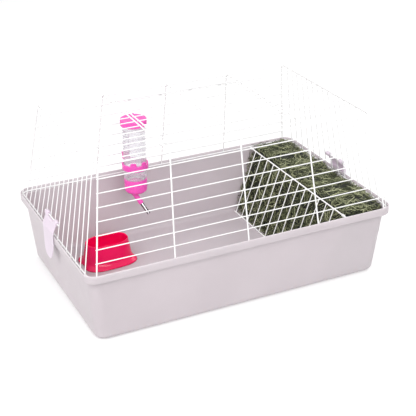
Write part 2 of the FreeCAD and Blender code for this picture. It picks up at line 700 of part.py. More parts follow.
def bowl_outline(rise, half_a, half_b, power, pinch):
    # Closed smooth curve of one level, in the bowl's own frame.
    points = []
    for k in range(BOWL_POINTS):
        a = 2.0 * math.pi * k / BOWL_POINTS
        c = math.cos(a)
        s = math.sin(a)
        x = math.copysign(half_a * abs(c) ** (2.0 / power), c)
        y = math.copysign(half_b * abs(s) ** (2.0 / power), s)
        dent = pinch * math.exp(-(y / half_b / BOWL_PINCH_SPREAD) ** 2)
        points.append(V(x - math.copysign(dent, c), y, BOWL_BOTTOM_Z + rise))
    curve = Part.BSplineCurve()
    curve.interpolate(Points=points, PeriodicFlag=True)
    return Part.Wire(curve.toShape())


def make_bowl():
    foot = Part.makeLoft([bowl_outline(*level) for level in BOWL_LEVELS[:6]], True, True)
    body = Part.makeLoft([bowl_outline(*level) for level in BOWL_LEVELS[5:]], True, True)
    inside = Part.makeLoft([bowl_outline(*level) for level in BOWL_INSIDE], True, True)
    bowl = foot.fuse(body).cut(inside).removeSplitter()
    bowl.rotate(V(0, 0, 0), V(0, 0, 1), BOWL_TURN)
    bowl.translate(V(BOWL_X, BOWL_Y, 0))
    return bowl


def make_hay():
    # Heap between the rack, the right end and the long walls, a little domed on top.
    clear = HAY_CLEAR
    low = HAY_LOW_Z
    slope_x = (WALL_TOP_X - FOOT_X) / LEDGE_Z
    slope_y = (WALL_TOP_Y - FOOT_Y) / LEDGE_Z
    rack_slope = (RACK_PIVOT_X - RACK_FOOT_X) / (RACK_PIVOT_Z - RACK_FOOT_Z)

    def level(z, inset):
        left = RACK_FOOT_X + rack_slope * (z - RACK_FOOT_Z) + clear + inset
        right = FOOT_X - WALL_THICK + slope_x * z - clear - inset
        half_y = FOOT_Y - WALL_THICK + slope_y * z - clear - inset
        half_x = (right - left) / 2.0
        wire = rounded_outline(half_x, half_y, 22.0, z)
        wire.translate(V((left + right) / 2.0, 0, 0))
        return wire

    rise = HAY_CROWN
    levels = ((low, 12.0), (low + 12.0, 1.0), (HAY_TOP_Z - rise, 0.0), (HAY_TOP_Z, 12.0))
    heap = Part.makeLoft([level(z, inset) for z, inset in levels], True, True)
    return heap


def main():
    save("tray", [make_tray()])
    save("base_ring", ring_of_wire(BASE_X, BASE_Y, BASE_RADIUS, BASE_WIRE_Z, RING_R))
    save("top_ring", ring_of_wire(TOP_RING_X, TOP_RING_Y, TOP_RING_RADIUS, TOP_RING_Z, RING_R))
    front, front_ends = make_uprights(-1)
    back, back_ends = make_uprights(1)
    save("front_uprights", front)
    save("back_uprights", back)
    save("front_rails", make_rails(-1))
    save("back_rails", make_rails(1))
    save("left_end_wires", make_end_wires(-1))
    save("right_end_wires", make_end_wires(1))
    save("left_clip_bar", [make_clip_bar(-1)])
    save("right_clip_bar", [make_clip_bar(1)])
    save("left_clip", [make_clip(-1)])
    save("right_clip", [make_clip(1)])
    save("roof_cross_wires", make_cross_wires(front_ends, back_ends))
    left, right, roof_front, roof_back = make_roof_wires()
    save("roof_left_wires", left)
    save("roof_right_wires", right)
    save("roof_front_wires", roof_front)
    save("roof_back_wires", roof_back)
    half = DOOR_POST_X + RAIL_OVERHANG
    save("door_rest_rail", [fixed_rail(-DOOR_HALF_Y, half)])
    save("door_hinge_rail", [fixed_rail(DOOR_HALF_Y, half)])
    save("door_frame", make_door_frame())
    save("door_wires", make_door_wires())
    save("door_hinge_sleeves", make_door_sleeves())
    save("door_lift_loop", [make_lift_loop()])
    rack_top, rack_foot, rack_wires = make_rack()
    save("rack_top_rod", [rack_top])
    save("rack_bottom_rod", [rack_foot])
    save("rack_wires", rack_wires)
    save("rack_hangers", make_rack_hangers())
    save("hay", [make_hay()])
    save("bottle_tube", [make_tube()])
    save("bottle_top_cap", [make_top_cap()])
    save("bottle_bottom_cap", [make_bottom_cap()])
    save("bottle_seal", [make_seal()])
    save("spout_sleeve", [make_spout_sleeve()])
    save("spout_tube", [make_spout_tube()])
    save("spout_ball", [make_ball()])
    save("bottle_holder", [make_holder()])
    save("bottle_hanger", [make_hanger()])
    save("bowl", [make_bowl()])


main()
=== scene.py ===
import math

import bmesh
import bpy
from mathutils import Matrix, Vector


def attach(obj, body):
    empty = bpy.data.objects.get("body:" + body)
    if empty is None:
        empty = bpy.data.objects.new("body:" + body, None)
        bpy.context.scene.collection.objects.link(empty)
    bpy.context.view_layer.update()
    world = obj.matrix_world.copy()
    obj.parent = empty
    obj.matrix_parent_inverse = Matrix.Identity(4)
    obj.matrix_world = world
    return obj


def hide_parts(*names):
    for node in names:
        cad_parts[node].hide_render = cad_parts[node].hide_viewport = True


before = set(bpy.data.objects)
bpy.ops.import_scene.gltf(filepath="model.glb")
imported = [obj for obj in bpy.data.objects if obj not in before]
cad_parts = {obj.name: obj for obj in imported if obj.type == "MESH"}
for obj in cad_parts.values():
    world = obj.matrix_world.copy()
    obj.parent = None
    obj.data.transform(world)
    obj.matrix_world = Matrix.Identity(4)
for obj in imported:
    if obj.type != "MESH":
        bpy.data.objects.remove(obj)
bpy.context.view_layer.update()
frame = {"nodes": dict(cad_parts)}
nodes = frame["nodes"]
print("frame loaded", len(nodes), "nodes")


def keep(mesh, name, material, body, replaces=(), sharp=40.0):
    # puts a finished mesh in the scene, on its body and in its material slot
    piece = bpy.data.objects.new(name, mesh)
    bpy.context.scene.collection.objects.link(piece)
    mesh.materials.clear()
    mesh.materials.append(material)
    for face in mesh.polygons:
        face.material_index = 0
        face.use_smooth = True
    if sharp:
        mesh.set_sharp_from_angle(angle=math.radians(sharp))
    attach(piece, body)
    if replaces:
        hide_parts(*replaces)
    return piece


def meshFrom(points, faces, name):
    mesh = bpy.data.meshes.new(name)
    mesh.from_pydata([tuple(p) for p in points], [], faces)
    mesh.update()
    return mesh


def skinRings(rings, name, startPole=None, endPole=None, closedLoop=False):
    # quads between rings of equal length, closed at both ends with a pole or joined end to end
    points = [p for ring in rings for p in ring]
    count = len(rings[0])
    faces = []
    last = len(rings) if closedLoop else len(rings) - 1
    for r in range(last):
        low = r * count
        high = ((r + 1) % len(rings)) * count
        for k in range(count):
            n = (k + 1) % count
            faces.append((low + k, low + n, high + n, high + k))
    if startPole is not None:
        pole = len(points)
        points.append(startPole)
        for k in range(count):
            faces.append((pole, (k + 1) % count, k))
    if endPole is not None:
        pole = len(points)
        points.append(endPole)
        base = (len(rings) - 1) * count
        for k in range(count):
            faces.append((pole, base + k, base + (k + 1) % count))
    mesh = meshFrom(points, faces, name)
    tidyNormals(mesh)
    return mesh


def tidyNormals(mesh):
    work = bmesh.new()
    work.from_mesh(mesh)
    bmesh.ops.remove_doubles(work, verts=work.verts, dist=1e-7)
    bmesh.ops.recalc_face_normals(work, faces=work.faces)
    if work.calc_volume(signed=True) < 0:
        bmesh.ops.reverse_faces(work, faces=work.faces)
    work.to_mesh(mesh)
    work.free()
    mesh.update()


def latheMesh(profile, centre, name, steps=72, ripple=None):
    # turns a profile of (radius, height) round an upright axis; ends at radius 0 become poles
    rings = []
    startPole = endPole = None
    for i, (r, z) in enumerate(profile):
        if r <= 0:
            if i == 0:
                startPole = Vector((centre[0], centre[1], z))
            else:
                endPole = Vector((centre[0], centre[1], z))
            continue
        ring = []
        for k in range(steps):
            a = 2 * math.pi * k / steps
            rr = r + (ripple(a, r, z) if ripple else 0.0)
            ring.append(Vector((centre[0] + rr * math.cos(a), centre[1] + rr * math.sin(a), z)))
        rings.append(ring)
    return skinRings(rings, name, startPole, endPole, closedLoop=startPole is None and endPole is None)


def roundedProfile(corners):
    # profile corners given as (radius, height, bend); each bend becomes a short arc
    out = []
    n = len(corners)
    for i, (r, z, bend) in enumerate(corners):
        here = Vector((r, z))
        if bend <= 0 or i in (0, n - 1):
            out.append((r, z))
            continue
        before = Vector(corners[i - 1][:2])
        after = Vector(corners[i + 1][:2])
        a = (before - here)
        b = (after - here)
        reach = min(bend, a.length * 0.48, b.length * 0.48)
        a.normalize()
        b.normalize()
        for step in range(5):
            t = step / 4
            p = here + a * reach * (1 - t) ** 2 + b * reach * t ** 2
            out.append((p.x, p.y))
    return out


def joinMeshes(meshes, name):
    work = bmesh.new()
    for mesh in meshes:
        work.from_mesh(mesh)
    joined = bpy.data.meshes.new(name)
    work.to_mesh(joined)
    work.free()
    for mesh in meshes:
        bpy.data.meshes.remove(mesh)
    return joined


class TreeMaker:
    # a short way to write a geometry node tree
    def __init__(self, name, inputs):
        self.tree = bpy.data.node_groups.new(name, "GeometryNodeTree")
        face = self.tree.interface
        face.new_socket(name="Geometry", in_out="INPUT", socket_type="NodeSocketGeometry")
        for label, kind, value in inputs:
            made = face.new_socket(name=label, in_out="INPUT", socket_type="NodeSocket" + kind)
            if value is not None:
                made.default_value = value
        face.new_socket(name="Geometry", in_out="OUTPUT", socket_type="NodeSocketGeometry")
        self.source = self.tree.nodes.new("NodeGroupInput")
        self.sink = self.tree.nodes.new("NodeGroupOutput")

    def given(self, label):
        return self.source.outputs[label]

    def node(self, kind, inputs=None, **options):
        made = self.tree.nodes.new(kind)
        for key, value in options.items():
            setattr(made, key, value)
        for key, value in (inputs or {}).items():
            self.feed(made.inputs[key], value)
        return made

    def feed(self, socket, value):
        if isinstance(value, bpy.types.NodeSocket):
            self.tree.links.new(value, socket)
        else:
            socket.default_value = value

    def mix(self, factor, a, b):
        made = self.node("ShaderNodeMix", data_type="VECTOR", clamp_factor=False)
        self.feed(made.inputs[0], factor)
        self.feed(made.inputs[4], a)
        self.feed(made.inputs[5], b)
        return made.outputs[1]

    def math(self, how, a, b=None, c=None):
        made = self.node("ShaderNodeMath", operation=how)
        for socket, value in zip(made.inputs, (a, b, c)):
            if value is not None:
                self.feed(socket, value)
        return made.outputs[0]

    def limit(self, value, low, high):
        return self.math("MINIMUM", self.math("MAXIMUM", value, low), high)

    def squared(self, value):
        return self.math("MULTIPLY", value, value)

    def rowShare(self, copies):
        # 0 at the first copy and 1 at the last
        steps = self.math("MAXIMUM", self.math("SUBTRACT", self.given("Count"), 1.0), 1.0)
        return self.math("DIVIDE", copies.outputs["Duplicate Index"], steps)

    def copied(self, curve):
        return self.node("GeometryNodeDuplicateElements", {"Geometry": curve.outputs[0],
                                                           "Amount": self.given("Count")}, domain="SPLINE")

    def vector(self, how, a, b=None, scale=None):
        made = self.node("ShaderNodeVectorMath", operation=how)
        self.feed(made.inputs[0], a)
        if b is not None:
            self.feed(made.inputs[1], b)
        if scale is not None:
            self.feed(made.inputs["Scale"], scale)
        return made.outputs[1] if how in ("DOT_PRODUCT", "LENGTH") else made.outputs[0]

    def tube(self, curve, radius, sides):
        ring = self.node("GeometryNodeCurvePrimitiveCircle", {"Resolution": sides, "Radius": radius})
        made = self.node("GeometryNodeCurveToMesh",
                         {"Curve": curve, "Profile Curve": ring.outputs["Curve"], "Fill Caps": True})
        return made.outputs["Mesh"]

    def end(self, geometry, material):
        real = self.node("GeometryNodeRealizeInstances", {"Geometry": geometry})
        last = self.node("GeometryNodeSetMaterial", {"Geometry": real.outputs[0], "Material": material})
        self.tree.links.new(last.outputs[0], self.sink.inputs["Geometry"])


def growMesh(maker, name, values, base=None):
    # runs a tree once and gives back the plain mesh
    start = base or bpy.data.meshes.new(name + "Start")
    holder = bpy.data.objects.new(name + "Holder", start)
    bpy.context.scene.collection.objects.link(holder)
    modifier = holder.modifiers.new(name, "NODES")
    modifier.node_group = maker.tree
    for item in maker.tree.interface.items_tree:
        if item.in_out == "INPUT" and item.name in values:
            modifier[item.identifier] = values[item.name]
    holder.update_tag()
    graph = bpy.context.evaluated_depsgraph_get()
    result = bpy.data.meshes.new_from_object(holder.evaluated_get(graph))
    result.name = name
    holder.modifiers.clear()
    bpy.data.objects.remove(holder)
    return result


def startMaterial(name):
    material = bpy.data.materials.new(name)
    material.use_nodes = True
    tree = material.node_tree
    tree.nodes.clear()
    out = tree.nodes.new("ShaderNodeOutputMaterial")
    shader = tree.nodes.new("ShaderNodeBsdfPrincipled")
    tree.links.new(shader.outputs[0], out.inputs[0])
    place = tree.nodes.new("ShaderNodeTexCoord")
    return material, tree, shader, place.outputs["Object"]


def noiseNode(tree, place, scale, detail=3.0, roughness=0.55, stretch=None, turned=None):
    made = tree.nodes.new("ShaderNodeTexNoise")
    made.inputs["Scale"].default_value = scale
    made.inputs["Detail"].default_value = detail
    made.inputs["Roughness"].default_value = roughness
    for label, value in (("Rotation", turned), ("Scale", stretch)):
        if value:
            shift = tree.nodes.new("ShaderNodeMapping")
            shift.inputs[label].default_value = value
            tree.links.new(place, shift.inputs["Vector"])
            place = shift.outputs[0]
    tree.links.new(place, made.inputs["Vector"])
    return made.outputs[0]


def blendColour(tree, factor, low, high):
    ramp = tree.nodes.new("ShaderNodeValToRGB")
    ramp.color_ramp.elements[0].position = low[0]
    ramp.color_ramp.elements[0].color = (*low[1], 1)
    ramp.color_ramp.elements[1].position = high[0]
    ramp.color_ramp.elements[1].color = (*high[1], 1)
    tree.links.new(factor, ramp.inputs[0])
    return ramp.outputs[0]


def rangeNode(tree, value, low, high):
    made = tree.nodes.new("ShaderNodeMapRange")
    made.inputs["From Min"].default_value = 0.3
    made.inputs["From Max"].default_value = 0.7
    made.inputs["To Min"].default_value = low
    made.inputs["To Max"].default_value = high
    tree.links.new(value, made.inputs["Value"])
    return made.outputs[0]


def bumpNode(tree, height, strength, distance, under=None):
    made = tree.nodes.new("ShaderNodeBump")
    made.inputs["Strength"].default_value = strength
    made.inputs["Distance"].default_value = distance
    tree.links.new(height, made.inputs["Height"])
    if under is not None:
        tree.links.new(under, made.inputs["Normal"])
    return made.outputs[0]


def mouldedPlastic(name, colour, spread=0.04, gloss=0.42, grain=900.0, grainDepth=0.25, scuff=0.5,
                   glow=0.0, depth=0.004, reach=(1.0, 0.5, 0.6)):
    # moulded plastic: broad colour drift, fine surface grain and faint rubbed patches
    material, tree, shader, place = startMaterial(name)
    drift = noiseNode(tree, place, 7.0, 4.0)
    low = tuple(max(0.0, c * (1 - spread)) for c in colour)
    high = tuple(min(1.0, c * (1 + spread)) for c in colour)
    tone = blendColour(tree, drift, (0.35, low), (0.65, high))
    tree.links.new(tone, shader.inputs["Base Color"])
    rub = noiseNode(tree, place, 38.0, 6.0, 0.7)
    worn = rangeNode(tree, rub, gloss - 0.08 * scuff, gloss + 0.12 * scuff)
    tree.links.new(worn, shader.inputs["Roughness"])
    fine = noiseNode(tree, place, grain, 2.0)
    broad = bumpNode(tree, noiseNode(tree, place, 22.0, 2.0), 0.10, 0.002)
    tree.links.new(bumpNode(tree, fine, grainDepth, 0.0002, broad), shader.inputs["Normal"])
    shader.inputs["IOR"].default_value = 1.48
    if glow:
        shader.inputs["Subsurface Weight"].default_value = glow
        shader.inputs["Subsurface Scale"].default_value = depth
        shader.inputs["Subsurface Radius"].default_value = reach
    return material


def coatedWire(name, colour):
    # dipped white coating: slight pooling along the wire, small ripples, dull specks
    material, tree, shader, place = startMaterial(name)
    drift = noiseNode(tree, place, 45.0, 5.0)
    low = tuple(c * 0.96 for c in colour)
    tone = blendColour(tree, drift, (0.35, low), (0.62, colour))
    tree.links.new(tone, shader.inputs["Base Color"])
    speck = noiseNode(tree, place, 420.0, 3.0)
    tree.links.new(rangeNode(tree, speck, 0.24, 0.42), shader.inputs["Roughness"])
    ripple = noiseNode(tree, place, 260.0, 2.0)
    tree.links.new(bumpNode(tree, ripple, 0.25, 0.0003), shader.inputs["Normal"])
    shader.inputs["IOR"].default_value = 1.5
    shader.inputs["Coat Weight"].default_value = 0.3
    shader.inputs["Coat Roughness"].default_value = 0.15
    return material


def clearPlastic(name, colour, alpha):
    material, tree, shader, place = startMaterial(name)
    haze = noiseNode(tree, place, 55.0, 4.0)
    low = tuple(c * 0.97 for c in colour)
    tree.links.new(blendColour(tree, haze, (0.35, low), (0.65, colour)), shader.inputs["Base Color"])
    tree.links.new(rangeNode(tree, haze, 0.06, 0.16), shader.inputs["Roughness"])
    tree.links.new(rangeNode(tree, haze, alpha - 0.04, alpha + 0.04), shader.inputs["Alpha"])
    wave = noiseNode(tree, place, 60.0, 1.0, 0.4, (1.0, 1.0, 0.25))
    tree.links.new(bumpNode(tree, wave, 0.15, 0.001), shader.inputs["Normal"])
    shader.inputs["IOR"].default_value = 1.45
    return material


def steelWithPaintedReflection(name, dark, bright, gloss, way):
    # drawn tube with painted reflection: dark and bright bands along it in the colour stand in for reflected
    # shade and light
    material, tree, shader, place = startMaterial(name)
    turned = Vector(way).rotation_difference(Vector((0, 0, 1))).to_euler()
    band = noiseNode(tree, place, 330.0, 1.0, 0.4, (1.0, 1.0, 0.03), turned)
    # painted reflection: the colour runs from near black to near white in bands stretched along the spout
    tree.links.new(blendColour(tree, band, (0.44, dark), (0.56, bright)), shader.inputs["Base Color"])
    streak = noiseNode(tree, place, 900.0, 3.0, 0.6, (1.0, 1.0, 0.08), turned)
    tree.links.new(rangeNode(tree, streak, gloss, gloss + 0.12), shader.inputs["Roughness"])
    tree.links.new(bumpNode(tree, streak, 0.12, 0.0002), shader.inputs["Normal"])
    shader.inputs["Metallic"].default_value = 1.0
    return material


def driedHay(name, dark, mid, pale):
    # each strand has its own tone, made a little uneven by fine noise
    material, tree, shader, place = startMaterial(name)
    tone = tree.nodes.new("ShaderNodeAttribute")
    tone.attribute_name = "strandTone"
    ramp = tree.nodes.new("ShaderNodeValToRGB")
    ramp.color_ramp.elements[0].color = (*dark, 1)
    ramp.color_ramp.elements[1].color = (*pale, 1)
    ramp.color_ramp.elements.new(0.55).color = (*mid, 1)
    streak = noiseNode(tree, place, 320.0, 4.0, 0.7)
    add = tree.nodes.new("ShaderNodeMath")
    add.operation = "MULTIPLY_ADD"
    tree.links.new(streak, add.inputs[0])
    add.inputs[1].default_value = 0.5
    shift = tree.nodes.new("ShaderNodeMath")
    shift.operation = "SUBTRACT"
    tree.links.new(tone.outputs["Fac"], shift.inputs[0])
    shift.inputs[1].default_value = 0.25
    tree.links.new(shift.outputs[0], add.inputs[2])
    tree.links.new(add.outputs[0], ramp.inputs[0])
    tree.links.new(ramp.outputs[0], shader.inputs["Base Color"])
    tree.links.new(bumpNode(tree, streak, 0.3, 0.0003), shader.inputs["Normal"])
    tree.links.new(rangeNode(tree, streak, 0.62, 0.86), shader.inputs["Roughness"])
    return material


finishes = {
    "tray": mouldedPlastic("trayPlastic", (0.530, 0.482, 0.507), spread=0.02, gloss=0.46, grain=1100.0,
                           glow=0.6, depth=0.008, reach=(1.0, 0.97, 0.98)),
    "clip": mouldedPlastic("clipPlastic", (0.66, 0.575, 0.66), spread=0.03, gloss=0.36, grain=1300.0,
                           glow=0.6, depth=0.006, reach=(1.0, 0.9, 1.0)),
    "wire": coatedWire("whiteWireCoat", (0.86, 0.86, 0.86)),
    # a lighter copy of the white wire coat: painted light that offsets the shade the rack sits in
    "rackWire": coatedWire("rackWirePaintedLightCoat", (0.97, 0.97, 0.965)),
    "pink": mouldedPlastic("pinkPlastic", (0.88, 0.105, 0.50), spread=0.05, gloss=0.26, grain=1500.0,
                           grainDepth=0.12, glow=0.15),
    "bowl": mouldedPlastic("bowlPlastic", (0.87, 0.002, 0.100), spread=0.04, gloss=0.14, grain=1500.0,
                           grainDepth=0.08),
    "tube": clearPlastic("clearTube", (0.84, 0.825, 0.875), 0.28),
    "mark": mouldedPlastic("markInk", (0.30, 0.22, 0.30), spread=0.1, gloss=0.5),
    # the spout tube and ball get steel whose colour carries painted reflection bands
    "steelPaintedReflection": steelWithPaintedReflection("spoutSteelPaintedReflection", (0.03, 0.03, 0.035), (0.92, 0.92, 0.93), 0.16, (32.0, -28.0, -60.0)),
    "seal": mouldedPlastic("sealRubber", (0.72, 0.72, 0.72), spread=0.05, gloss=0.6),
    "hay": driedHay("driedHay", (0.018, 0.024, 0.012), (0.105, 0.120, 0.050), (0.58, 0.60, 0.36)),
    # near-black hay colours for the heap: painted shade between the strands
    "hayShadeCore": driedHay("hayShadeCore", (0.006, 0.008, 0.004), (0.03, 0.036, 0.014), (0.09, 0.10, 0.04)),
}
print("finishes ready")


tray = {
    "rim": (0.400, 0.258), "rimRadius": 0.030, "rimZ": 0.186, "skirtZ": 0.166, "skirtThick": 0.0025,
    "ledgeZ": 0.1775, "foot": (0.374, 0.231), "footRadius": 0.024, "wallTop": (0.390, 0.248),
    "wallTopRadius": 0.026, "wallThick": 0.003, "footBend": 0.014, "floorBend": 0.011,
    "floorTop": 0.003, "ledgeThick": 0.0025, "cornerSteps": 10, "longSteps": 56, "shortSteps": 40,
    "wallRows": 22, "bendRows": 7, "recessDepth": 0.0016, "recessZ": 0.122, "recessHalf": (0.026, 0.022),
}


def traySection(halfX, halfY, radius, z):
    t = tray
    ring = []
    cx = halfX - radius
    cy = halfY - radius
    for k in range(t["longSteps"]):
        ring.append(Vector((-cx + 2 * cx * k / t["longSteps"], -halfY, z)))
    ring += cornerPoints(cx, -cy, radius, -90, z)
    for k in range(t["shortSteps"]):
        ring.append(Vector((halfX, -cy + 2 * cy * k / t["shortSteps"], z)))
    ring += cornerPoints(cx, cy, radius, 0, z)
    for k in range(t["longSteps"]):
        ring.append(Vector((cx - 2 * cx * k / t["longSteps"], halfY, z)))
    ring += cornerPoints(-cx, cy, radius, 90, z)
    for k in range(t["shortSteps"]):
        ring.append(Vector((-halfX, cy - 2 * cy * k / t["shortSteps"], z)))
    ring += cornerPoints(-cx, -cy, radius, 180, z)
    return ring


def cornerPoints(cx, cy, radius, turn, z):
    out = []
    steps = tray["cornerSteps"]
    for k in range(steps):
        a = math.radians(turn + 90 * k / steps)
        out.append(Vector((cx + radius * math.cos(a), cy + radius * math.sin(a), z)))
    return out


def wallAt(z, inward=0.0):
    t = tray
    s = z / t["ledgeZ"]
    x = t["foot"][0] + (t["wallTop"][0] - t["foot"][0]) * s - inward
    y = t["foot"][1] + (t["wallTop"][1] - t["foot"][1]) * s - inward
    r = t["footRadius"] + (t["wallTopRadius"] - t["footRadius"]) * s - inward
    return x, y, r


def makeTray():
    t = tray
    rings = []

    def add(x, y, r, z):
        rings.append(traySection(x, y, max(r, 0.002), z))

    rimX, rimY = t["rim"]
    footX, footY = t["foot"]
    for share in (0.15, 0.45, 0.75, 0.93):                       # flat underside
        add(footX * share, footY * share, t["footRadius"] * share, 0.0)
    bend = t["footBend"]
    bendRows = t["bendRows"]
    for k in range(1, bendRows + 1):                             # round bottom edge
        a = math.radians(90 * k / bendRows)
        z = bend * (1 - math.cos(a))
        x, y, r = wallAt(z)
        cut = bend * (1 - math.sin(a))
        add(x - cut, y - cut, r - cut * 0.4, z)
    rows = t["wallRows"]
    under = t["ledgeZ"] - t["ledgeThick"]
    for k in range(1, rows + 1):                                 # outside wall
        z = bend + (under - bend) * k / rows
        add(*wallAt(z), z)
    skirtIn = t["skirtThick"]
    for d, z in ((0.0040, under), (skirtIn + 0.0006, under), (skirtIn, under - 0.0006),
                 (skirtIn, t["skirtZ"] + 0.0006), (skirtIn - 0.0005, t["skirtZ"]),
                 (0.0007, t["skirtZ"]), (0.0001, t["skirtZ"] + 0.0007), (0.0, t["skirtZ"] + 0.0020),
                 (0.0, t["rimZ"] - 0.0024), (0.0002, t["rimZ"] - 0.0009), (0.0008, t["rimZ"] - 0.0002),
                 (0.0013, t["rimZ"]), (0.0018, t["rimZ"] - 0.0002), (0.0024, t["rimZ"] - 0.0010),
                 (skirtIn + 0.0001, t["ledgeZ"] + 0.0010), (skirtIn + 0.0008, t["ledgeZ"])):
        add(rimX - d, rimY - d, t["rimRadius"] - d, z)
    x, y, r = wallAt(t["ledgeZ"], t["wallThick"])
    for out, drop in ((0.0020, 0.0), (0.0008, 0.0001), (0.0001, 0.0008), (0.0, 0.0020)):
        add(x + out, y + out, r + out, t["ledgeZ"] - drop)
    fillet = t["floorBend"]
    top = t["ledgeZ"] - 0.004
    floorTop = t["floorTop"]
    low = floorTop + fillet
    for k in range(1, rows + 1):                                 # inside wall
        z = top + (low - top) * k / rows
        add(*wallAt(z, t["wallThick"]), z)
    for k in range(1, bendRows + 1):                             # round floor edge
        a = math.radians(90 * k / bendRows)
        z = floorTop + fillet * (1 - math.sin(a))
        x, y, r = wallAt(z, t["wallThick"])
        cut = fillet * (1 - math.cos(a))
        add(x - cut, y - cut, r - cut * 0.4, z)
    for share in (0.88, 0.6, 0.3, 0.1):                          # flat floor
        add(footX * share, footY * share, t["footRadius"] * share, floorTop)
    mesh = skinRings(rings, "trayShell", Vector((0, 0, 0)), Vector((0, 0, floorTop)))
    wide, tall = t["recessHalf"]
    for v in mesh.vertices:                                      # thumb recess under each clip
        p = v.co
        if abs(p.x) > 0.36 and p.z < t["skirtZ"] - 0.004 and abs(p.x) > wallAt(p.z)[0] - 0.0008:
            spread = math.exp(-((p.y / wide) ** 2 + ((p.z - t["recessZ"]) / tall) ** 2) * 1.6)
            p.x -= math.copysign(t["recessDepth"] * spread, p.x)
    return keep(mesh, "trayShell", finishes["tray"], "cage", ["tray"], sharp=50)


makeTray()
print("tray made")


def wireFanTree():
    # a row of straight wires whose two ends each run along a line
    t = TreeMaker("wireFan", [
        ("Foot First", "Vector", None), ("Foot Last", "Vector", None), ("Head First", "Vector", None),
        ("Head Last", "Vector", None), ("Count", "Int", 5), ("Wire Radius", "Float", 0.001),
        ("Sides", "Int", 10), ("Coat", "Material", None)])
    line = t.node("GeometryNodeCurvePrimitiveLine", {"End": (0.0, 0.0, 1.0)})
    copies = t.copied(line)
    place = t.rowShare(copies)
    along = t.node("GeometryNodeSplineParameter").outputs["Factor"]
    foot = t.mix(place, t.given("Foot First"), t.given("Foot Last"))
    head = t.mix(place, t.given("Head First"), t.given("Head Last"))
    moved = t.node("GeometryNodeSetPosition",
                   {"Geometry": copies.outputs["Geometry"], "Position": t.mix(along, foot, head)})
    t.end(t.tube(moved.outputs[0], t.given("Wire Radius"), t.given("Sides")), t.given("Coat"))
    return t


def hoopTree():
    # bent wires that go up the front, over the roof and down the back
    t = TreeMaker("hoopWires", [
        ("Count", "Int", 5), ("Foot Reach", "Float", 0.3), ("Roof Reach", "Float", 0.3),
        ("Foot Depth", "Float", 0.2), ("Roof Depth", "Float", 0.2), ("Foot Height", "Float", 0.1),
        ("Roof Height", "Float", 0.4), ("Bend Radius", "Float", 0.009), ("Wire Radius", "Float", 0.001),
        ("Sides", "Int", 10), ("Coat", "Material", None)])
    line = t.node("GeometryNodeMeshLine", {"Count": 4})
    curve = t.node("GeometryNodeMeshToCurve", {"Mesh": line.outputs[0]})
    copies = t.copied(curve)
    share = t.rowShare(copies)
    spread = t.math("SUBTRACT", t.math("MULTIPLY", share, 2.0), 1.0)
    step = t.math("MODULO", t.node("GeometryNodeInputIndex").outputs[0], 4.0)
    back = t.math("GREATER_THAN", step, 1.5)
    high = t.math("COMPARE", step, 1.5, 0.6)
    side = t.math("SUBTRACT", t.math("MULTIPLY", back, 2.0), 1.0)

    def between(a, b):
        change = t.math("MULTIPLY", t.math("SUBTRACT", t.given(b), t.given(a)), high)
        return t.math("ADD", change, t.given(a))

    x = t.math("MULTIPLY", between("Foot Reach", "Roof Reach"), spread)
    y = t.math("MULTIPLY", between("Foot Depth", "Roof Depth"), side)
    spot = t.node("ShaderNodeCombineXYZ", {"X": x, "Y": y, "Z": between("Foot Height", "Roof Height")})
    moved = t.node("GeometryNodeSetPosition",
                   {"Geometry": copies.outputs["Geometry"], "Position": spot.outputs[0]})
    bent = t.node("GeometryNodeFilletCurve", {"Curve": moved.outputs[0], "Radius": t.given("Bend Radius"),
                                              "Count": 6, "Limit Radius": True}, mode="POLY")
    t.end(t.tube(bent.outputs[0], t.given("Wire Radius"), t.given("Sides")), t.given("Coat"))
    return t


def ringTree():
    # a flat closed wire with round corners
    t = TreeMaker("ringWire", [
        ("Length", "Float", 0.5), ("Depth", "Float", 0.4), ("Middle", "Vector", None),
        ("Corner Radius", "Float", 0.02), ("Wire Radius", "Float", 0.002), ("Sides", "Int", 12),
        ("Coat", "Material", None)])
    flat = t.node("GeometryNodeCurvePrimitiveQuadrilateral",
                  {"Width": t.given("Length"), "Height": t.given("Depth")}, mode="RECTANGLE")
    bent = t.node("GeometryNodeFilletCurve", {"Curve": flat.outputs[0], "Radius": t.given("Corner Radius"),
                                              "Count": 12, "Limit Radius": True}, mode="POLY")
    moved = t.node("GeometryNodeTransform", {"Geometry": bent.outputs[0], "Translation": t.given("Middle")})
    t.end(t.tube(moved.outputs[0], t.given("Wire Radius"), t.given("Sides")), t.given("Coat"))
    return t


def weldTree():
    # small weld beads where two sets of wires cross, on a grid between four corners
    t = TreeMaker("weldBeads", [
        ("Corner A", "Vector", None), ("Corner B", "Vector", None), ("Corner C", "Vector", None),
        ("Corner D", "Vector", None), ("Across", "Int", 5), ("Along", "Int", 7),
        ("Bead Size", "Float", 0.0017), ("Seed", "Int", 3), ("Coat", "Material", None)])
    grid = t.node("GeometryNodeMeshGrid", {"Size X": 1.0, "Size Y": 1.0, "Vertices X": t.given("Across"),
                                           "Vertices Y": t.given("Along")})
    here = t.node("GeometryNodeInputPosition").outputs[0]
    parts = t.node("ShaderNodeSeparateXYZ", {"Vector": here})
    u = t.math("ADD", parts.outputs[0], 0.5)
    v = t.math("ADD", parts.outputs[1], 0.5)
    low = t.mix(u, t.given("Corner A"), t.given("Corner B"))
    high = t.mix(u, t.given("Corner C"), t.given("Corner D"))
    moved = t.node("GeometryNodeSetPosition", {"Geometry": grid.outputs[0], "Position": t.mix(v, low, high)})
    bead = t.node("GeometryNodeMeshIcoSphere", {"Radius": t.given("Bead Size"), "Subdivisions": 2})
    size = t.node("FunctionNodeRandomValue", data_type="FLOAT")
    t.feed(size.inputs[2], 0.85)
    t.feed(size.inputs[3], 1.1)
    t.feed(size.inputs["Seed"], t.given("Seed"))
    spots = t.node("GeometryNodeInstanceOnPoints", {"Points": moved.outputs[0], "Instance": bead.outputs[0],
                                                    "Scale": size.outputs[1]})
    t.end(spots.outputs[0], t.given("Coat"))
    return t


fanTree = wireFanTree()
hoops = hoopTree()
rings = ringTree()
beads = weldTree()


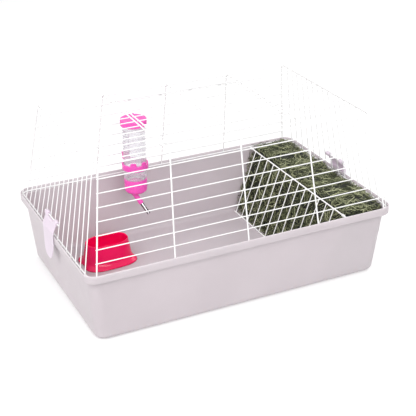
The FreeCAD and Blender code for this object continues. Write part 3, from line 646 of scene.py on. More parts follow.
def wireFan(name, footFirst, footLast, headFirst, headLast, count, radius, sides=10):
    return growMesh(fanTree, name, {
        "Foot First": footFirst, "Foot Last": footLast, "Head First": headFirst, "Head Last": headLast,
        "Count": count, "Wire Radius": radius, "Sides": sides, "Coat": finishes["wire"]})


def straightWire(name, start, end, radius, sides):
    return wireFan(name, start, start, end, end, 1, radius, sides)


def weldBeads(name, a, b, c, d, across, along, size=0.0015):
    return growMesh(beads, name, {
        "Corner A": a, "Corner B": b, "Corner C": c, "Corner D": d, "Across": across, "Along": along,
        "Bead Size": size, "Coat": finishes["wire"]})


wireTop = {
    "uprightR": 0.00175, "railR": 0.00125, "endR": 0.0012, "ringR": 0.0020, "touch": 0.00003,
    "base": (0.3915, 0.2492), "baseZ": 0.1796, "baseCorner": 0.018,
    "footX": 0.375, "roofX": 0.341, "innerRoofX": 0.1735, "footY": 0.25298, "roofY": 0.206, "footZ": 0.1779,
    "crossZ": 0.42325, "roofBend": 0.0060, "topRing": (0.345, 0.2015), "topCorner": 0.012,
    "gaps": 8, "overhang": 0.0018, "doorRailOver": 0.0018, "rowGap": 0.004,
    "endCount": 16, "endPitch": 0.031, "endFan": 0.82, "endFootZ": 0.1786,
    "roofPitch": 0.030, "doorHalfY": 0.150, "postX": 0.1735, "hoopGaps": (0.01358, 0.00158),
}


def uprightAt(column, share, side):
    # point on an upright's line, share of the way from base wire to roof; columns run from -2 to 2
    w = wireTop
    y = w["footY"] + (w["roofY"] - w["footY"]) * share
    z = w["baseZ"] + (w["crossZ"] - w["baseZ"]) * share
    foot = w["footX"] * abs(column) / 2
    roof = (0.0, w["innerRoofX"], w["roofX"])[abs(column)]
    return math.copysign(foot + (roof - foot) * share, column), y * side, z


def keepWire(mesh, name, replaced, body="cage", finish="wire"):
    keep(mesh, name, finishes[finish], body, replaced)


def makeHoops():
    # the bent wires that stand at the front and back and cross the roof
    w = wireTop
    bendDrop = w["footZ"] - w["baseZ"]
    tall = w["crossZ"] - w["baseZ"]
    footY = w["footY"] - (w["footY"] - w["roofY"]) / tall * bendDrop
    footX = w["footX"] - (w["footX"] - w["roofX"]) / tall * bendDrop
    common = {"Foot Depth": footY, "Roof Depth": w["roofY"], "Foot Height": w["footZ"],
              "Roof Height": w["crossZ"], "Bend Radius": w["roofBend"], "Wire Radius": w["uprightR"],
              "Sides": 14, "Coat": finishes["wire"]}
    parts = []
    for count, foot, roof in ((2, footX, w["roofX"]), (2, footX / 2, w["innerRoofX"]), (1, 0.0, 0.0)):
        parts.append(growMesh(hoops, "hoops", {**common, "Count": count, "Foot Reach": foot,
                                               "Roof Reach": roof}))
    openMiddleHoop(parts[-1])
    nodes = ["front_uprights", "back_uprights", "roof_cross_wires"]
    keepWire(joinMeshes(parts, "hoopWires"), "hoopWires", nodes)


def makeRails(label, side):
    # the level wires of one long side, with their welds and the uprights' welds on the base wire
    w = wireTop
    lean = math.hypot(w["crossZ"] - w["baseZ"], w["footY"] - w["roofY"])
    inY = (w["crossZ"] - w["baseZ"]) / lean
    inZ = (w["footY"] - w["roofY"]) / lean
    off = w["uprightR"] + w["railR"] + w["touch"]
    rows = w["gaps"] - 1
    low, high = 1 / w["gaps"], rows / w["gaps"]

    def rail(share, end):
        x, y, z = uprightAt(2, share, side)
        return ((x + w["overhang"]) * end, y - side * off * inY, z - off * inZ)

    def bead(share, column):
        x, y, z = uprightAt(column, share, side)
        return (x, y - side * w["uprightR"] * inY, z - w["uprightR"] * inZ)

    rails = wireFan(label + "Rails", rail(low, -1), rail(high, -1), rail(low, 1), rail(high, 1), rows,
                    w["railR"], 12)
    welds = [weldBeads(label + "Beads", bead(low, -n), bead(low, n), bead(high, -n), bead(high, n),
                       2 if n else 1, rows) for n in (0, 1, 2)]
    feetY = side * (w["base"][1] + w["ringR"])
    left, right = (-w["footX"], feetY, w["baseZ"]), (w["footX"], feetY, w["baseZ"])
    feet = weldBeads(label + "FootBeads", left, right, left, right, 5, 1, 0.0018)
    keepWire(joinMeshes([rails, *welds, feet], label + "Rails"), label + "Rails", [label + "_rails"])


def ringHeight():
    w = wireTop
    return w["crossZ"] - w["uprightR"] - w["ringR"] - w["touch"]


def makeRing(name, node, reach, z, corner):
    mesh = growMesh(rings, name, {
        "Length": 2 * reach[0], "Depth": 2 * reach[1], "Middle": (0.0, 0.0, z), "Corner Radius": corner,
        "Wire Radius": wireTop["ringR"], "Sides": 14, "Coat": finishes["wire"]})
    keepWire(mesh, name, [node])


def ringEdge(reach):
    # how far out an end wire lies where it touches a ring
    w = wireTop
    return reach + w["ringR"] + w["endR"] + w["touch"]


def endX(z):
    # how far out the end wires are at a height
    w = wireTop
    baseX, topX = ringEdge(w["base"][0]), ringEdge(w["topRing"][0])
    return baseX + (topX - baseX) * (z - w["baseZ"]) / (ringHeight() - w["baseZ"])


def makeEndWires(label, side):
    # the wires of one end, closer together at the roof than at the tray
    w = wireTop
    name = label + "EndWires"
    reach = (w["endCount"] - 1) / 2 * w["endPitch"]
    headReach = reach * w["endFan"]
    lowZ, highZ = w["endFootZ"], ringHeight() + w["ringR"]
    footX, headX = side * endX(lowZ), side * endX(highZ)
    wires = wireFan(name, (footX, -reach, lowZ), (footX, reach, lowZ), (headX, -headReach, highZ),
                    (headX, headReach, highZ), w["endCount"], w["endR"], 10)
    lowX, highX = [side * (ringEdge(w[ring][0]) - w["endR"]) for ring in ("base", "topRing")]
    welds = weldBeads(label + "EndBeads", (lowX, -reach, w["baseZ"]), (lowX, reach, w["baseZ"]),
                      (highX, -headReach, ringHeight()), (highX, headReach, ringHeight()),
                      w["endCount"], 2, 0.0012)
    keepWire(joinMeshes([wires, welds], name), name, [label + "_end_wires"])


def openMiddleHoop(mesh):
    # the middle hoop stops at the roof door, so the stretch over it is taken out and the ends are closed
    w = wireTop
    work = bmesh.new()
    work.from_mesh(mesh)
    frontStop = -w["doorHalfY"] - w["hoopGaps"][0]
    backStop = w["doorHalfY"] + w["hoopGaps"][1]
    for y, normal in ((frontStop, (0, 1, 0)), (backStop, (0, -1, 0))):
        geometry = work.verts[:] + work.edges[:] + work.faces[:]
        bmesh.ops.bisect_plane(work, geom=geometry, plane_co=(0, y, 0), plane_no=normal)
    gone = [f for f in work.faces if frontStop < f.calc_center_median().y < backStop]
    bmesh.ops.delete(work, geom=gone, context="FACES")
    edges = [e for e in work.edges if e.is_boundary]
    bmesh.ops.holes_fill(work, edges=edges, sides=0)
    work.to_mesh(mesh)
    work.free()


makeHoops()
makeRails("front", -1)
makeRails("back", 1)
makeRing("baseRing", "base_ring", wireTop["base"], wireTop["baseZ"], wireTop["baseCorner"])
makeRing("topRing", "top_ring", wireTop["topRing"], ringHeight(), wireTop["topCorner"])
makeEndWires("left", -1)
makeEndWires("right", 1)
print("wire panels made")


def makeRoofWires():
    w = wireTop
    z = w["crossZ"] - w["uprightR"] - w["railR"] - w["touch"]
    reach = w["topRing"][0] - w["ringR"] - w["touch"]
    inner = w["postX"] - w["uprightR"]
    rows = int(w["topRing"][1] / w["roofPitch"])
    half = rows * w["roofPitch"]
    beadZ = w["crossZ"] - w["uprightR"]
    for label, side in (("left", -1), ("right", 1)):
        wires = wireFan(label + "RoofWires", (side * inner, -half, z), (side * inner, half, z),
                        (side * reach, -half, z), (side * reach, half, z), 2 * rows + 1, w["railR"], 12)
        shortenRailRows(wires, side)
        outerBeads = weldBeads(label + "RoofBeads", (side * w["roofX"], -half, beadZ),
                               (side * w["roofX"], half, beadZ), (side * w["postX"], -half, beadZ),
                               (side * w["postX"], half, beadZ), 2 * rows + 1, 2)
        mesh = joinMeshes([wires, outerBeads], label + "RoofWires")
        keepWire(mesh, label + "RoofWires", ["roof_" + label + "_wires"])
    for label, y in (("front", -half), ("back", half)):
        end = inner - 0.0002
        wires = straightWire(label + "RoofWire", (-end, y, z), (end, y, z), w["railR"], 12)
        keepWire(wires, label + "RoofWire", ["roof_" + label + "_wires"])


def makeDoorRails():
    # the fixed rails that the roof door rests on at the front and turns on at the back
    w = wireTop
    railZ = w["crossZ"] - 2 * w["uprightR"] - w["touch"]
    end = w["postX"] + w["doorRailOver"]
    for node, y in (("door_rest_rail", -w["doorHalfY"]), ("door_hinge_rail", w["doorHalfY"])):
        wire = straightWire(node, (-end, y, railZ), (end, y, railZ), w["uprightR"], 16)
        left, right = [(side * w["postX"], y, railZ + w["uprightR"]) for side in (-1, 1)]
        welds = weldBeads(node + "Beads", left, right, left, right, 2, 1, 0.0019)
        words = node.split("_")
        name = words[0] + words[1].capitalize() + words[2].capitalize()
        keepWire(joinMeshes([wire, welds], name), name, [node])


def shortenRailRows(mesh, side):
    # wires in line with the two door rails start past the ends of those rails
    w = wireTop
    start = w["postX"] + w["rowGap"] + w["touch"]
    for v in mesh.vertices:
        if abs(abs(v.co.y) - w["doorHalfY"]) < 0.003 and abs(v.co.x) < start:
            v.co.x = side * start


makeRoofWires()
makeDoorRails()
print("roof made")


door = {
    "halfX": 0.164, "frontY": -0.158, "backY": 0.141, "z": 0.42355, "corner": 0.006,
    "sleeveX": (-0.125, -0.042, 0.042, 0.125), "loopMiddle": 0.062, "loopHalf": 0.022, "loopOut": 0.020,
    "loopR": 0.0015, "loopBend": 0.008, "curlIn": 0.00186, "curlR": 0.00078, "curlTurns": 4.5,
    "armX": 0.0035,
}


def curlTree():
    # a few turns of wire wound round a rail, repeated along it
    t = TreeMaker("hingeCurls", [
        ("First", "Vector", None), ("Last", "Vector", None), ("Count", "Int", 4),
        ("Inside Radius", "Float", 0.0019), ("Wire Radius", "Float", 0.0013), ("Turns", "Float", 3.0),
        ("Coat", "Material", None)])
    middle = t.math("ADD", t.given("Inside Radius"), t.given("Wire Radius"))
    height = t.math("MULTIPLY", t.math("MULTIPLY", t.given("Wire Radius"), 2.04), t.given("Turns"))
    coil = t.node("GeometryNodeCurveSpiral", {
        "Resolution": 20, "Rotations": t.given("Turns"), "Start Radius": middle, "End Radius": middle,
        "Height": height})
    middleShift = t.node("ShaderNodeCombineXYZ", {"Z": t.math("MULTIPLY", height, -0.5)})
    centred = t.node("GeometryNodeTransform",
                     {"Geometry": coil.outputs[0], "Translation": middleShift.outputs[0]})
    laid = t.node("GeometryNodeTransform", {"Geometry": centred.outputs[0],
                                            "Rotation": (0.0, math.radians(90), 0.0)})
    solid = t.tube(laid.outputs[0], t.given("Wire Radius"), 8)
    row = t.node("GeometryNodeMeshLine", {"Count": t.given("Count"), "Start Location": t.given("First"),
                                          "Offset": t.given("Last")}, mode="END_POINTS")
    spots = t.node("GeometryNodeInstanceOnPoints", {"Points": row.outputs[0], "Instance": solid})
    t.end(spots.outputs[0], t.given("Coat"))
    return t


def pathTube(points, radius, sides, bend, name):
    # one wire along a few corner points, with rounded bends
    curve = bpy.data.curves.new(name, "CURVE")
    curve.dimensions = "3D"
    spline = curve.splines.new("POLY")
    line = []
    for i, p in enumerate(points):
        p = Vector(p)
        if 0 < i < len(points) - 1 and bend > 0:
            a = Vector(points[i - 1]) - p
            b = Vector(points[i + 1]) - p
            angle = a.angle(b)
            reach = min(bend / math.tan(angle / 2), a.length * 0.49, b.length * 0.49)
            a.normalize()
            b.normalize()
            for k in range(7):
                s = k / 6
                line.append(p + a * reach * (1 - s) ** 2 + b * reach * s ** 2)
        else:
            line.append(p)
    spline.points.add(len(line) - 1)
    for spot, p in zip(spline.points, line):
        spot.co = (*p, 1.0)
    curve.bevel_depth = radius
    curve.bevel_resolution = max(1, sides // 4 - 1)
    curve.use_fill_caps = True
    holder = bpy.data.objects.new(name + "Holder", curve)
    bpy.context.scene.collection.objects.link(holder)
    graph = bpy.context.evaluated_depsgraph_get()
    mesh = bpy.data.meshes.new_from_object(holder.evaluated_get(graph))
    mesh.name = name
    bpy.data.objects.remove(holder)
    bpy.data.curves.remove(curve)
    tidyNormals(mesh)
    return mesh


def makeDoorFrame():
    w = wireTop
    d = door
    frameR = w["uprightR"]
    outline = growMesh(rings, "doorOutline", {
        "Length": 2 * d["halfX"], "Depth": d["backY"] - d["frontY"],
        "Middle": (0.0, (d["frontY"] + d["backY"]) / 2, d["z"]), "Corner Radius": d["corner"],
        "Wire Radius": frameR, "Sides": 14, "Coat": finishes["wire"]})
    middle = straightWire("doorMiddle", (0, d["frontY"] + frameR, d["z"]), (0, d["backY"] - frameR, d["z"]),
                          frameR, 14)
    keepWire(joinMeshes([outline, middle], "doorFrame"), "doorFrame", ["door_frame"], "roof_door")
    z = d["z"] - w["uprightR"] - w["railR"] - w["touch"]
    rows = int((w["doorHalfY"] - 0.5 * w["roofPitch"] - 1e-6) / w["roofPitch"])
    half = rows * w["roofPitch"]
    end = d["halfX"] + 0.001
    wires = wireFan("doorWires", (-end, -half, z), (-end, half, z), (end, -half, z), (end, half, z),
                    2 * rows + 1, w["railR"], 12)
    beadZ = d["z"] - w["uprightR"]
    welds = weldBeads("doorBeads", (-d["halfX"], -half, beadZ), (-d["halfX"], half, beadZ),
                      (d["halfX"], -half, beadZ), (d["halfX"], half, beadZ), 2 * rows + 1, 3)
    keepWire(joinMeshes([wires, welds], "doorWires"), "doorWires", ["door_wires"], "roof_door")


def makeDoorCurls():
    # the hinge: wire wound round the fixed rail, its ends carried back to the door's frame
    w = wireTop
    d = door
    railZ = w["crossZ"] - 2 * w["uprightR"] - w["touch"]
    curls = curlTree()
    curlR = d["curlR"]
    parts = []
    for x in d["sleeveX"]:
        middle = (x, w["doorHalfY"], railZ)
        parts.append(growMesh(curls, "doorCurl", {
            "First": middle, "Last": middle, "Count": 1, "Inside Radius": d["curlIn"], "Wire Radius": curlR,
            "Turns": d["curlTurns"], "Coat": finishes["wire"]}))
    top = railZ + d["curlIn"] + curlR
    for x in d["sleeveX"]:
        for armX in (x - d["armX"], x + d["armX"]):
            arm = [(armX, w["doorHalfY"], top), (armX, d["backY"] + 0.002, top - 0.0002),
                   (armX, d["backY"], d["z"])]
            parts.append(pathTube(arm, curlR, 8, 0.001, "curlArm"))
    keepWire(joinMeshes(parts, "doorHingeCurls"), "doorHingeCurls", ["door_hinge_sleeves"], "roof_door")


def makeDoorLoop():
    # the loop a finger lifts the door by
    d = door
    frameR = wireTop["uprightR"]
    near = d["frontY"] - frameR * 0.6
    far = near - d["loopOut"] - frameR * 0.4
    left = d["loopMiddle"] - d["loopHalf"]
    right = d["loopMiddle"] + d["loopHalf"]
    loop = pathTube([(left, near, d["z"]), (left, far, d["z"]), (right, far, d["z"]), (right, near, d["z"])],
                    d["loopR"], 12, d["loopBend"], "doorLiftLoop")
    keepWire(loop, "doorLiftLoop", ["door_lift_loop"], "roof_door")


makeDoorFrame()
makeDoorCurls()
makeDoorLoop()
print("roof door made")


rack = {
    "pivot": (0.268, 0.1796), "foot": (0.207, 0.0054), "rodR": 0.00175, "wireR": 0.00125, "count": 13,
    "firstY": 0.207, "pitch": 0.0336, "rodHalf": 0.238, "footHalf": 0.219,
}


def makeRack():
    r = rack
    px, pz = r["pivot"]
    fx, fz = r["foot"]
    for name, node, x, z, half in (("rackTopRod", "rack_top_rod", px, pz, r["rodHalf"]),
                                   ("rackBottomRod", "rack_bottom_rod", fx, fz, r["footHalf"])):
        rod = straightWire(name, (x, -half, z), (x, half, z), r["rodR"], 16)
        # the rack's rods take the lighter wire coat, painted light against their shade
        keepWire(rod, name, [node], "hay_rack", "rackWire")
    way = Vector((px - fx, 0, pz - fz)).normalized()
    across = Vector((-way.z, 0, way.x))
    off = across * (r["rodR"] + r["wireR"] + wireTop["touch"])
    lastY = r["firstY"] - (r["count"] - 1) * r["pitch"]
    low, high = Vector((fx, 0, fz)) + off, Vector((px, 0, pz)) + off
    wires = wireFan("rackWires", (low.x, r["firstY"], low.z), (low.x, lastY, low.z),
                    (high.x, r["firstY"], high.z), (high.x, lastY, high.z), r["count"], r["wireR"], 12)
    touch = across * r["rodR"]
    low, high = Vector((fx, 0, fz)) + touch, Vector((px, 0, pz)) + touch
    welds = weldBeads("rackBeads", (low.x, r["firstY"], low.z), (low.x, lastY, low.z),
                      (high.x, r["firstY"], high.z), (high.x, lastY, high.z), r["count"], 2)
    mesh = joinMeshes([wires, welds], "rackWires")
    # the rack's wires take the lighter wire coat, painted light against their shade
    keepWire(mesh, "rackWires", ["rack_wires"], "hay_rack", "rackWire")


makeRack()
print("rack made")


bottle = {
    "centre": (-0.108, 0.172), "tubeR": 0.0302, "tubeTop": 0.352, "tubeLow": 0.186, "neckR": 0.025,
    "capR": 0.034, "capLow": 0.341, "capTop": 0.358, "nozzleTop": 0.372, "capRibs": 60,
    "cupR": 0.0296, "cupTop": 0.193, "cupLow": 0.158, "dome": 0.006, "cupFlutes": 24,
    "bandLow": 0.222, "bandTop": 0.237, "bandTab": 0.246, "bandOut": 0.0342, "bandIn": 0.03055,
    "spoutStart": (-0.116, 0.172, 0.154), "spoutWay": (32.0, -28.0, -60.0), "sleeveR": 0.0074,
    "sleeveOut": 0.037, "spoutR": 0.0046, "spoutOut": 0.071,
    "markStart": -182, "markFirst": 0.2535, "markPitch": 0.0070,
    "tabs": ((-119.0, 15.0), (-68.0, 11.4)),
}


def bottlePiece(mesh, name, finish, node, sharp=40.0):
    keep(mesh, name, finishes[finish], "water_bottle", [node], sharp)


def wave(depth, count, a):
    # depth of an upright rib or flute at angle a, with count of them round the cap
    return -depth * (0.5 + 0.5 * math.cos(a * count))


def makeTube():
    b = bottle
    shoulder = b["cupTop"] + 0.0004
    neckR, neckIn, tubeR, tubeIn = b["neckR"], b["neckR"] - 0.0016, b["tubeR"], b["tubeR"] - 0.0016
    profile = roundedProfile([
        (neckIn, b["tubeLow"], 0), (neckR, b["tubeLow"], 0.0004), (neckR, shoulder, 0.0008),
        (tubeR, shoulder + 0.0006, 0.0025), (tubeR, b["tubeTop"], 0.0005), (tubeIn, b["tubeTop"], 0.0005),
        (tubeIn, shoulder + 0.003, 0.0015), (neckIn, shoulder + 0.002, 0.0008),
        (neckIn, b["tubeLow"] + 0.0005, 0)])
    mesh = latheMesh(profile, b["centre"], "bottleTube", 96)
    bottlePiece(mesh, "bottleTube", "tube", "bottle_tube", 60)


def makeTopCap():
    b = bottle

    def ribs(a, r, z):
        # fine grip ribs on the side of the cap only
        if r < b["capR"] - 0.0004 or z < b["capLow"] + 0.0022 or z > b["capTop"] - 0.0022:
            return 0.0
        return wave(0.0007, b["capRibs"], a)

    low, top, out = b["capLow"], b["capTop"], b["capR"]
    inside = b["tubeR"] + 0.0001
    under, nozzle = b["tubeTop"] + 0.0002, b["nozzleTop"]
    profile = [
        (0.0, under), (inside, under), (inside, low), (out - 0.0008, low), (out - 0.0002, low + 0.0003),
        (out, low + 0.001), (out, low + 0.0024), (out, low + 0.0034), (out, top - 0.0036),
        (out, top - 0.0026), (out, top - 0.0014), (out - 0.0005, top - 0.0005), (out - 0.0016, top),
        (out - 0.004, top), (0.026, top - 0.0008), (0.010, top - 0.0008), (0.0062, top - 0.0002),
        (0.0052, top + 0.0010), (0.0044, top + 0.0040), (0.0030, top + 0.0095), (0.0024, nozzle - 0.0012),
        (0.0016, nozzle - 0.0002), (0.0, nozzle)]
    mesh = latheMesh(profile, b["centre"], "bottleTopCap", 360, ribs)
    bottlePiece(mesh, "bottleTopCap", "pink", "bottle_top_cap", 35)


def makeLowerCap():
    b = bottle
    r, low, plug = b["cupR"], b["cupLow"], b["neckR"] + 0.0001
    profile = roundedProfile([
        (0.0, b["cupTop"] - 0.012, 0), (plug, b["cupTop"] - 0.012, 0), (plug, b["cupTop"], 0.0003),
        (r, b["cupTop"], 0.0008), (r, low + 0.010, 0.002), (r - 0.0006, low + 0.002, 0.004),
        (r - 0.0060, low - 0.0025, 0.005), (r - 0.0150, low - 0.0050, 0.004), (0.0, low - b["dome"], 0)])

    def flutes(a, r, z):
        # shallow upright flutes round the lower cap
        if r < b["cupR"] - 0.0007 or z < low + 0.004 or z > b["cupTop"] - 0.003:
            return 0.0
        return wave(0.0004, b["cupFlutes"], a)

    mesh = latheMesh(profile, b["centre"], "bottleBottomCap", 192, flutes)
    bottlePiece(mesh, "bottleBottomCap", "pink", "bottle_bottom_cap", 35)


def makeSeal():
    b = bottle
    top = b["tubeLow"] - 0.0001
    out, bore = b["neckR"] - 0.0001, b["neckR"] - 0.0046
    profile = roundedProfile([
        (bore, top - 0.002, 0), (out, top - 0.002, 0.0005), (out, top, 0.0005), (bore, top, 0.0005),
        (bore, top - 0.0015, 0)])
    mesh = latheMesh(profile, b["centre"], "bottleSeal", 64)
    bottlePiece(mesh, "bottleSeal", "seal", "bottle_seal")


def spoutFrame():
    b = bottle
    way = Vector(b["spoutWay"]).normalized()
    start = Vector(b["spoutStart"])
    side = way.cross(Vector((0, 0, 1))).normalized()
    return start, way, side, side.cross(way)


def latheAlongSpout(profile, name, steps=48, closed=False):
    start, way, side, up = spoutFrame()
    ringsHere = []
    startPole = endPole = None
    for i, (r, d) in enumerate(profile):
        middle = start + way * d
        if r <= 0:
            if i == 0:
                startPole = middle
            else:
                endPole = middle
            continue
        angles = [2 * math.pi * k / steps for k in range(steps)]
        ringsHere.append([middle + side * (r * math.cos(a)) + up * (r * math.sin(a)) for a in angles])
    return skinRings(ringsHere, name, startPole, endPole, closedLoop=closed)


def makeSpout():
    b = bottle
    out = b["sleeveOut"]
    r = b["sleeveR"]
    bore = b["spoutR"] + 0.0001
    sleeve = roundedProfile([
        (bore, 0.0, 0), (r, 0.0, 0.0006), (r - 0.0004, 0.006, 0.002), (r - 0.0014, out - 0.009, 0.001),
        (r - 0.0008, out - 0.008, 0.0004), (r - 0.0008, out - 0.001, 0.0008), (r - 0.0014, out, 0.0008),
        (bore, out, 0.0003)])
    mesh = latheAlongSpout(sleeve, "spoutSleeve", 48, closed=True)
    bottlePiece(mesh, "spoutSleeve", "pink", "spout_sleeve")
    end = b["spoutOut"]
    r = b["spoutR"]
    tube = roundedProfile([
        (r - 0.0012, -0.002, 0), (r, -0.002, 0.0003), (r, end - 0.0010, 0.0005), (r - 0.0008, end, 0.0005),
        (r - 0.0018, end, 0.0003), (r - 0.0018, end - 0.0022, 0.0002), (r - 0.0012, end - 0.0026, 0.0002)])
    mesh = latheAlongSpout(tube, "spoutTube", 48, closed=True)
    bottlePiece(mesh, "spoutTube", "steelPaintedReflection", "spout_tube")


def markTree():
    # a column of short lines printed round the tube
    t = TreeMaker("fillMarks", [
        ("Axis", "Vector", None), ("Tube Radius", "Float", 0.03), ("Start Angle", "Float", 0.0),
        ("Sweep", "Float", 0.4), ("First Height", "Float", 0.2), ("Pitch", "Float", 0.01),
        ("Count", "Int", 10), ("Line Width", "Float", 0.0008), ("Ink", "Material", None)])
    arc = t.node("GeometryNodeCurveArc", {"Resolution": 14, "Radius": t.given("Tube Radius"),
                                          "Start Angle": t.given("Start Angle"),
                                          "Sweep Angle": t.given("Sweep")}, mode="RADIUS")
    copies = t.copied(arc)
    rise = t.math("ADD", t.math("MULTIPLY", copies.outputs["Duplicate Index"], t.given("Pitch")),
                  t.given("First Height"))
    lift = t.node("ShaderNodeCombineXYZ", {"Z": rise})
    moved = t.node("GeometryNodeSetPosition", {
        "Geometry": copies.outputs["Geometry"], "Offset": t.vector("ADD", lift.outputs[0], t.given("Axis"))})
    flat = t.node("GeometryNodeCurvePrimitiveQuadrilateral",
                  {"Width": 0.0001, "Height": t.given("Line Width")}, mode="RECTANGLE")
    solid = t.node("GeometryNodeCurveToMesh", {"Curve": moved.outputs[0], "Profile Curve": flat.outputs[0],
                                               "Fill Caps": True})
    t.end(solid.outputs[0], t.given("Ink"))
    return t


def makeMarks():
    b = bottle
    marks = markTree()
    common = {"Axis": (*b["centre"], 0.0), "Tube Radius": b["tubeR"] + 0.00012, "Ink": finishes["mark"]}
    start = math.radians(b["markStart"])
    first, pitch = b["markFirst"], b["markPitch"]
    parts = []
    for turned, sweep, height, step, count, width in (
            (0.0, 0.52, first, pitch, 12, 0.0011),                # short lines
            (0.0, 0.76, first, 3 * pitch, 4, 0.0012),             # every third one is longer
            (0.75, 0.03, 0.2920, 0.0, 1, 0.0780)):                # the upright line at their side
        parts.append(growMesh(marks, "fillMarks", {
            **common, "Start Angle": start + turned, "Sweep": sweep, "First Height": height, "Pitch": step,
            "Count": count, "Line Width": width}))
    mesh = joinMeshes(parts, "fillMarks")
    keep(mesh, "fillMarks", finishes["mark"], "water_bottle")


def makeHolder():
    b = bottle
    low, top = b["bandLow"], b["bandTop"]
    band = roundedProfile([
        (b["bandIn"], low, 0), (b["bandOut"], low, 0.0008), (b["bandOut"], top, 0.0008),
        (b["bandIn"], top, 0.0004), (b["bandIn"], low + 0.001, 0)])
    parts = [latheMesh(band, b["centre"], "band", 96)]
    for angle, half in b["tabs"]:
        parts.append(bandTab(math.radians(angle), math.radians(half)))
    keep(joinMeshes(parts, "bottleHolder"), "bottleHolder", finishes["pink"], "cage",
         ["bottle_holder"], sharp=35)


def bandTab(middle, half):
    # a small curved plate standing up from the band, with soft top corners
    b = bottle
    steps = 14
    ringsHere = []
    for k in range(steps + 1):
        s = -1 + 2 * k / steps
        a = middle + half * s
        top = b["bandTop"] + (b["bandTab"] - b["bandTop"]) * (1 - abs(s) ** 6) ** 0.25
        low = b["bandLow"] + 0.004
        inside, outside = b["bandIn"] + 0.0002, b["bandOut"] - 0.0004
        ring = []
        for r, z in ((inside, low), (outside, low), (outside, top - 0.0006), (outside - 0.0006, top),
                     (inside + 0.0006, top), (inside, top - 0.0006)):
            ring.append(Vector((b["centre"][0] + r * math.cos(a), b["centre"][1] + r * math.sin(a), z)))
        ringsHere.append(ring)
    first = sum(ringsHere[0], Vector()) / 6
    last = sum(ringsHere[-1], Vector()) / 6
    return skinRings(ringsHere, "bandTab", first, last)


makeTube()
makeTopCap()
makeLowerCap()
makeSeal()
makeSpout()
makeMarks()
makeHolder()
print("bottle made")


bowl = {
    "centre": (-0.216, 0.119), "turn": 3.0, "steps": 168, "pinchSpread": 0.34, "lowZ": 0.00305,
    "topZ": 0.062, "floor": 0.011, "lipA": 0.0571, "lipB": 0.0345,
}


def bowlRing(halfA, halfB, power, pinch, z):
    # rounded-square outline with a shallow dent in the middle of its two ends
    ring = []
    turn = math.radians(bowl["turn"])
    for k in range(bowl["steps"]):
        a = 2 * math.pi * k / bowl["steps"]
        c, s = math.cos(a), math.sin(a)
        x = halfA * math.copysign(abs(c) ** (2 / power), c)
        y = halfB * math.copysign(abs(s) ** (2 / power), s)
        x -= math.copysign(pinch * math.exp(-(y / halfB / bowl["pinchSpread"]) ** 2), c)
        ring.append(Vector((bowl["centre"][0] + x * math.cos(turn) - y * math.sin(turn),
                            bowl["centre"][1] + x * math.sin(turn) + y * math.cos(turn), z)))
    return ring


def makeBowl():
    b = bowl
    low, top = b["lowZ"], b["topZ"]
    outside = [
        (0.030, 0.024, 2.4, 0.0, low + 0.0030), (0.0680, 0.0500, 3.2, 0.0060, low + 0.0030),
        (0.0692, 0.0512, 3.2, 0.0064, low + 0.0004), (0.0710, 0.0530, 3.2, 0.0068, low),
        (0.0730, 0.0550, 3.2, 0.0070, low + 0.0004), (0.0738, 0.0558, 3.2, 0.0070, low + 0.0014),
        (0.0737, 0.0557, 3.2, 0.0070, low + 0.0028), (0.0729, 0.0549, 3.1, 0.0066, low + 0.0040),
        (0.0714, 0.0532, 3.0, 0.0058, low + 0.0054), (0.0693, 0.0513, 2.9, 0.0046, low + 0.0072),
        (0.0673, 0.0495, 2.75, 0.0034, low + 0.0092), (0.0655, 0.0478, 2.65, 0.0022, low + 0.0115),
        (0.0641, 0.0463, 2.55, 0.0012, low + 0.0145), (0.0629, 0.0449, 2.5, 0.0003, low + 0.0185)]
    lastA, lastB = b["lipA"], b["lipB"]
    sections = list(outside)
    start = outside[-1]
    end = top - 0.0026
    for k in range(1, 11):
        s = k / 10
        sections.append((start[0] + (lastA - start[0]) * s, start[1] + (lastB - start[1]) * s,
                         2.5 - 0.1 * s, 0.0, start[4] + (end - start[4]) * s))
    for inward, drop in ((0.0001, 0.0012), (0.0005, 0.0004), (0.0012, 0.0), (0.0020, 0.0002),
                         (0.0027, 0.0009), (0.0031, 0.0020)):     # rounded lip
        sections.append((lastA - inward, lastB - inward, 2.4, 0.0, top - drop))
    floor = b["floor"] + low
    for height, inA, inB in ((0.050, 0.0018, 0.0010), (0.040, 0.0008, -0.0012), (0.030, -0.0004, -0.0030),
                             (0.022, 0.0020, 0.0008), (0.016, 0.0070, 0.0044), (0.0125, 0.0130, 0.0090),
                             (0.0115, 0.0220, 0.0140), (0.0110, 0.0320, 0.0200)):
        sections.append((lastA - inA, lastB - inB, 2.35, 0.0, low + height))
    sections.append((0.012, 0.007, 2.0, 0.0, floor - 0.0001))
    ringsHere = [bowlRing(*part) for part in sections]
    mesh = skinRings(ringsHere, "foodBowl", Vector((*b["centre"], low + 0.0030)),
                     Vector((*b["centre"], floor - 0.0002)))
    keep(mesh, "foodBowl", finishes["bowl"], "bowl", ["bowl"], sharp=50)


makeBowl()
print("bowl made")


clip = {
    "barZ": 0.218, "barR": 0.0015, "barHalf": 0.0495, "earY": 0.031, "earHalf": 0.008, "earR": 0.006,
    "gap": 0.001, "thick": 0.0032, "hookHalf": 0.029, "voxel": 0.0009,
}


def boxMesh(corners, name):
    # a closed block from its four front corners and four back corners
    faces = [(0, 1, 2, 3), (7, 6, 5, 4), (0, 4, 5, 1), (1, 5, 6, 2), (2, 6, 7, 3), (3, 7, 4, 0)]
    mesh = meshFrom(corners, faces, name)
    tidyNormals(mesh)
    return mesh


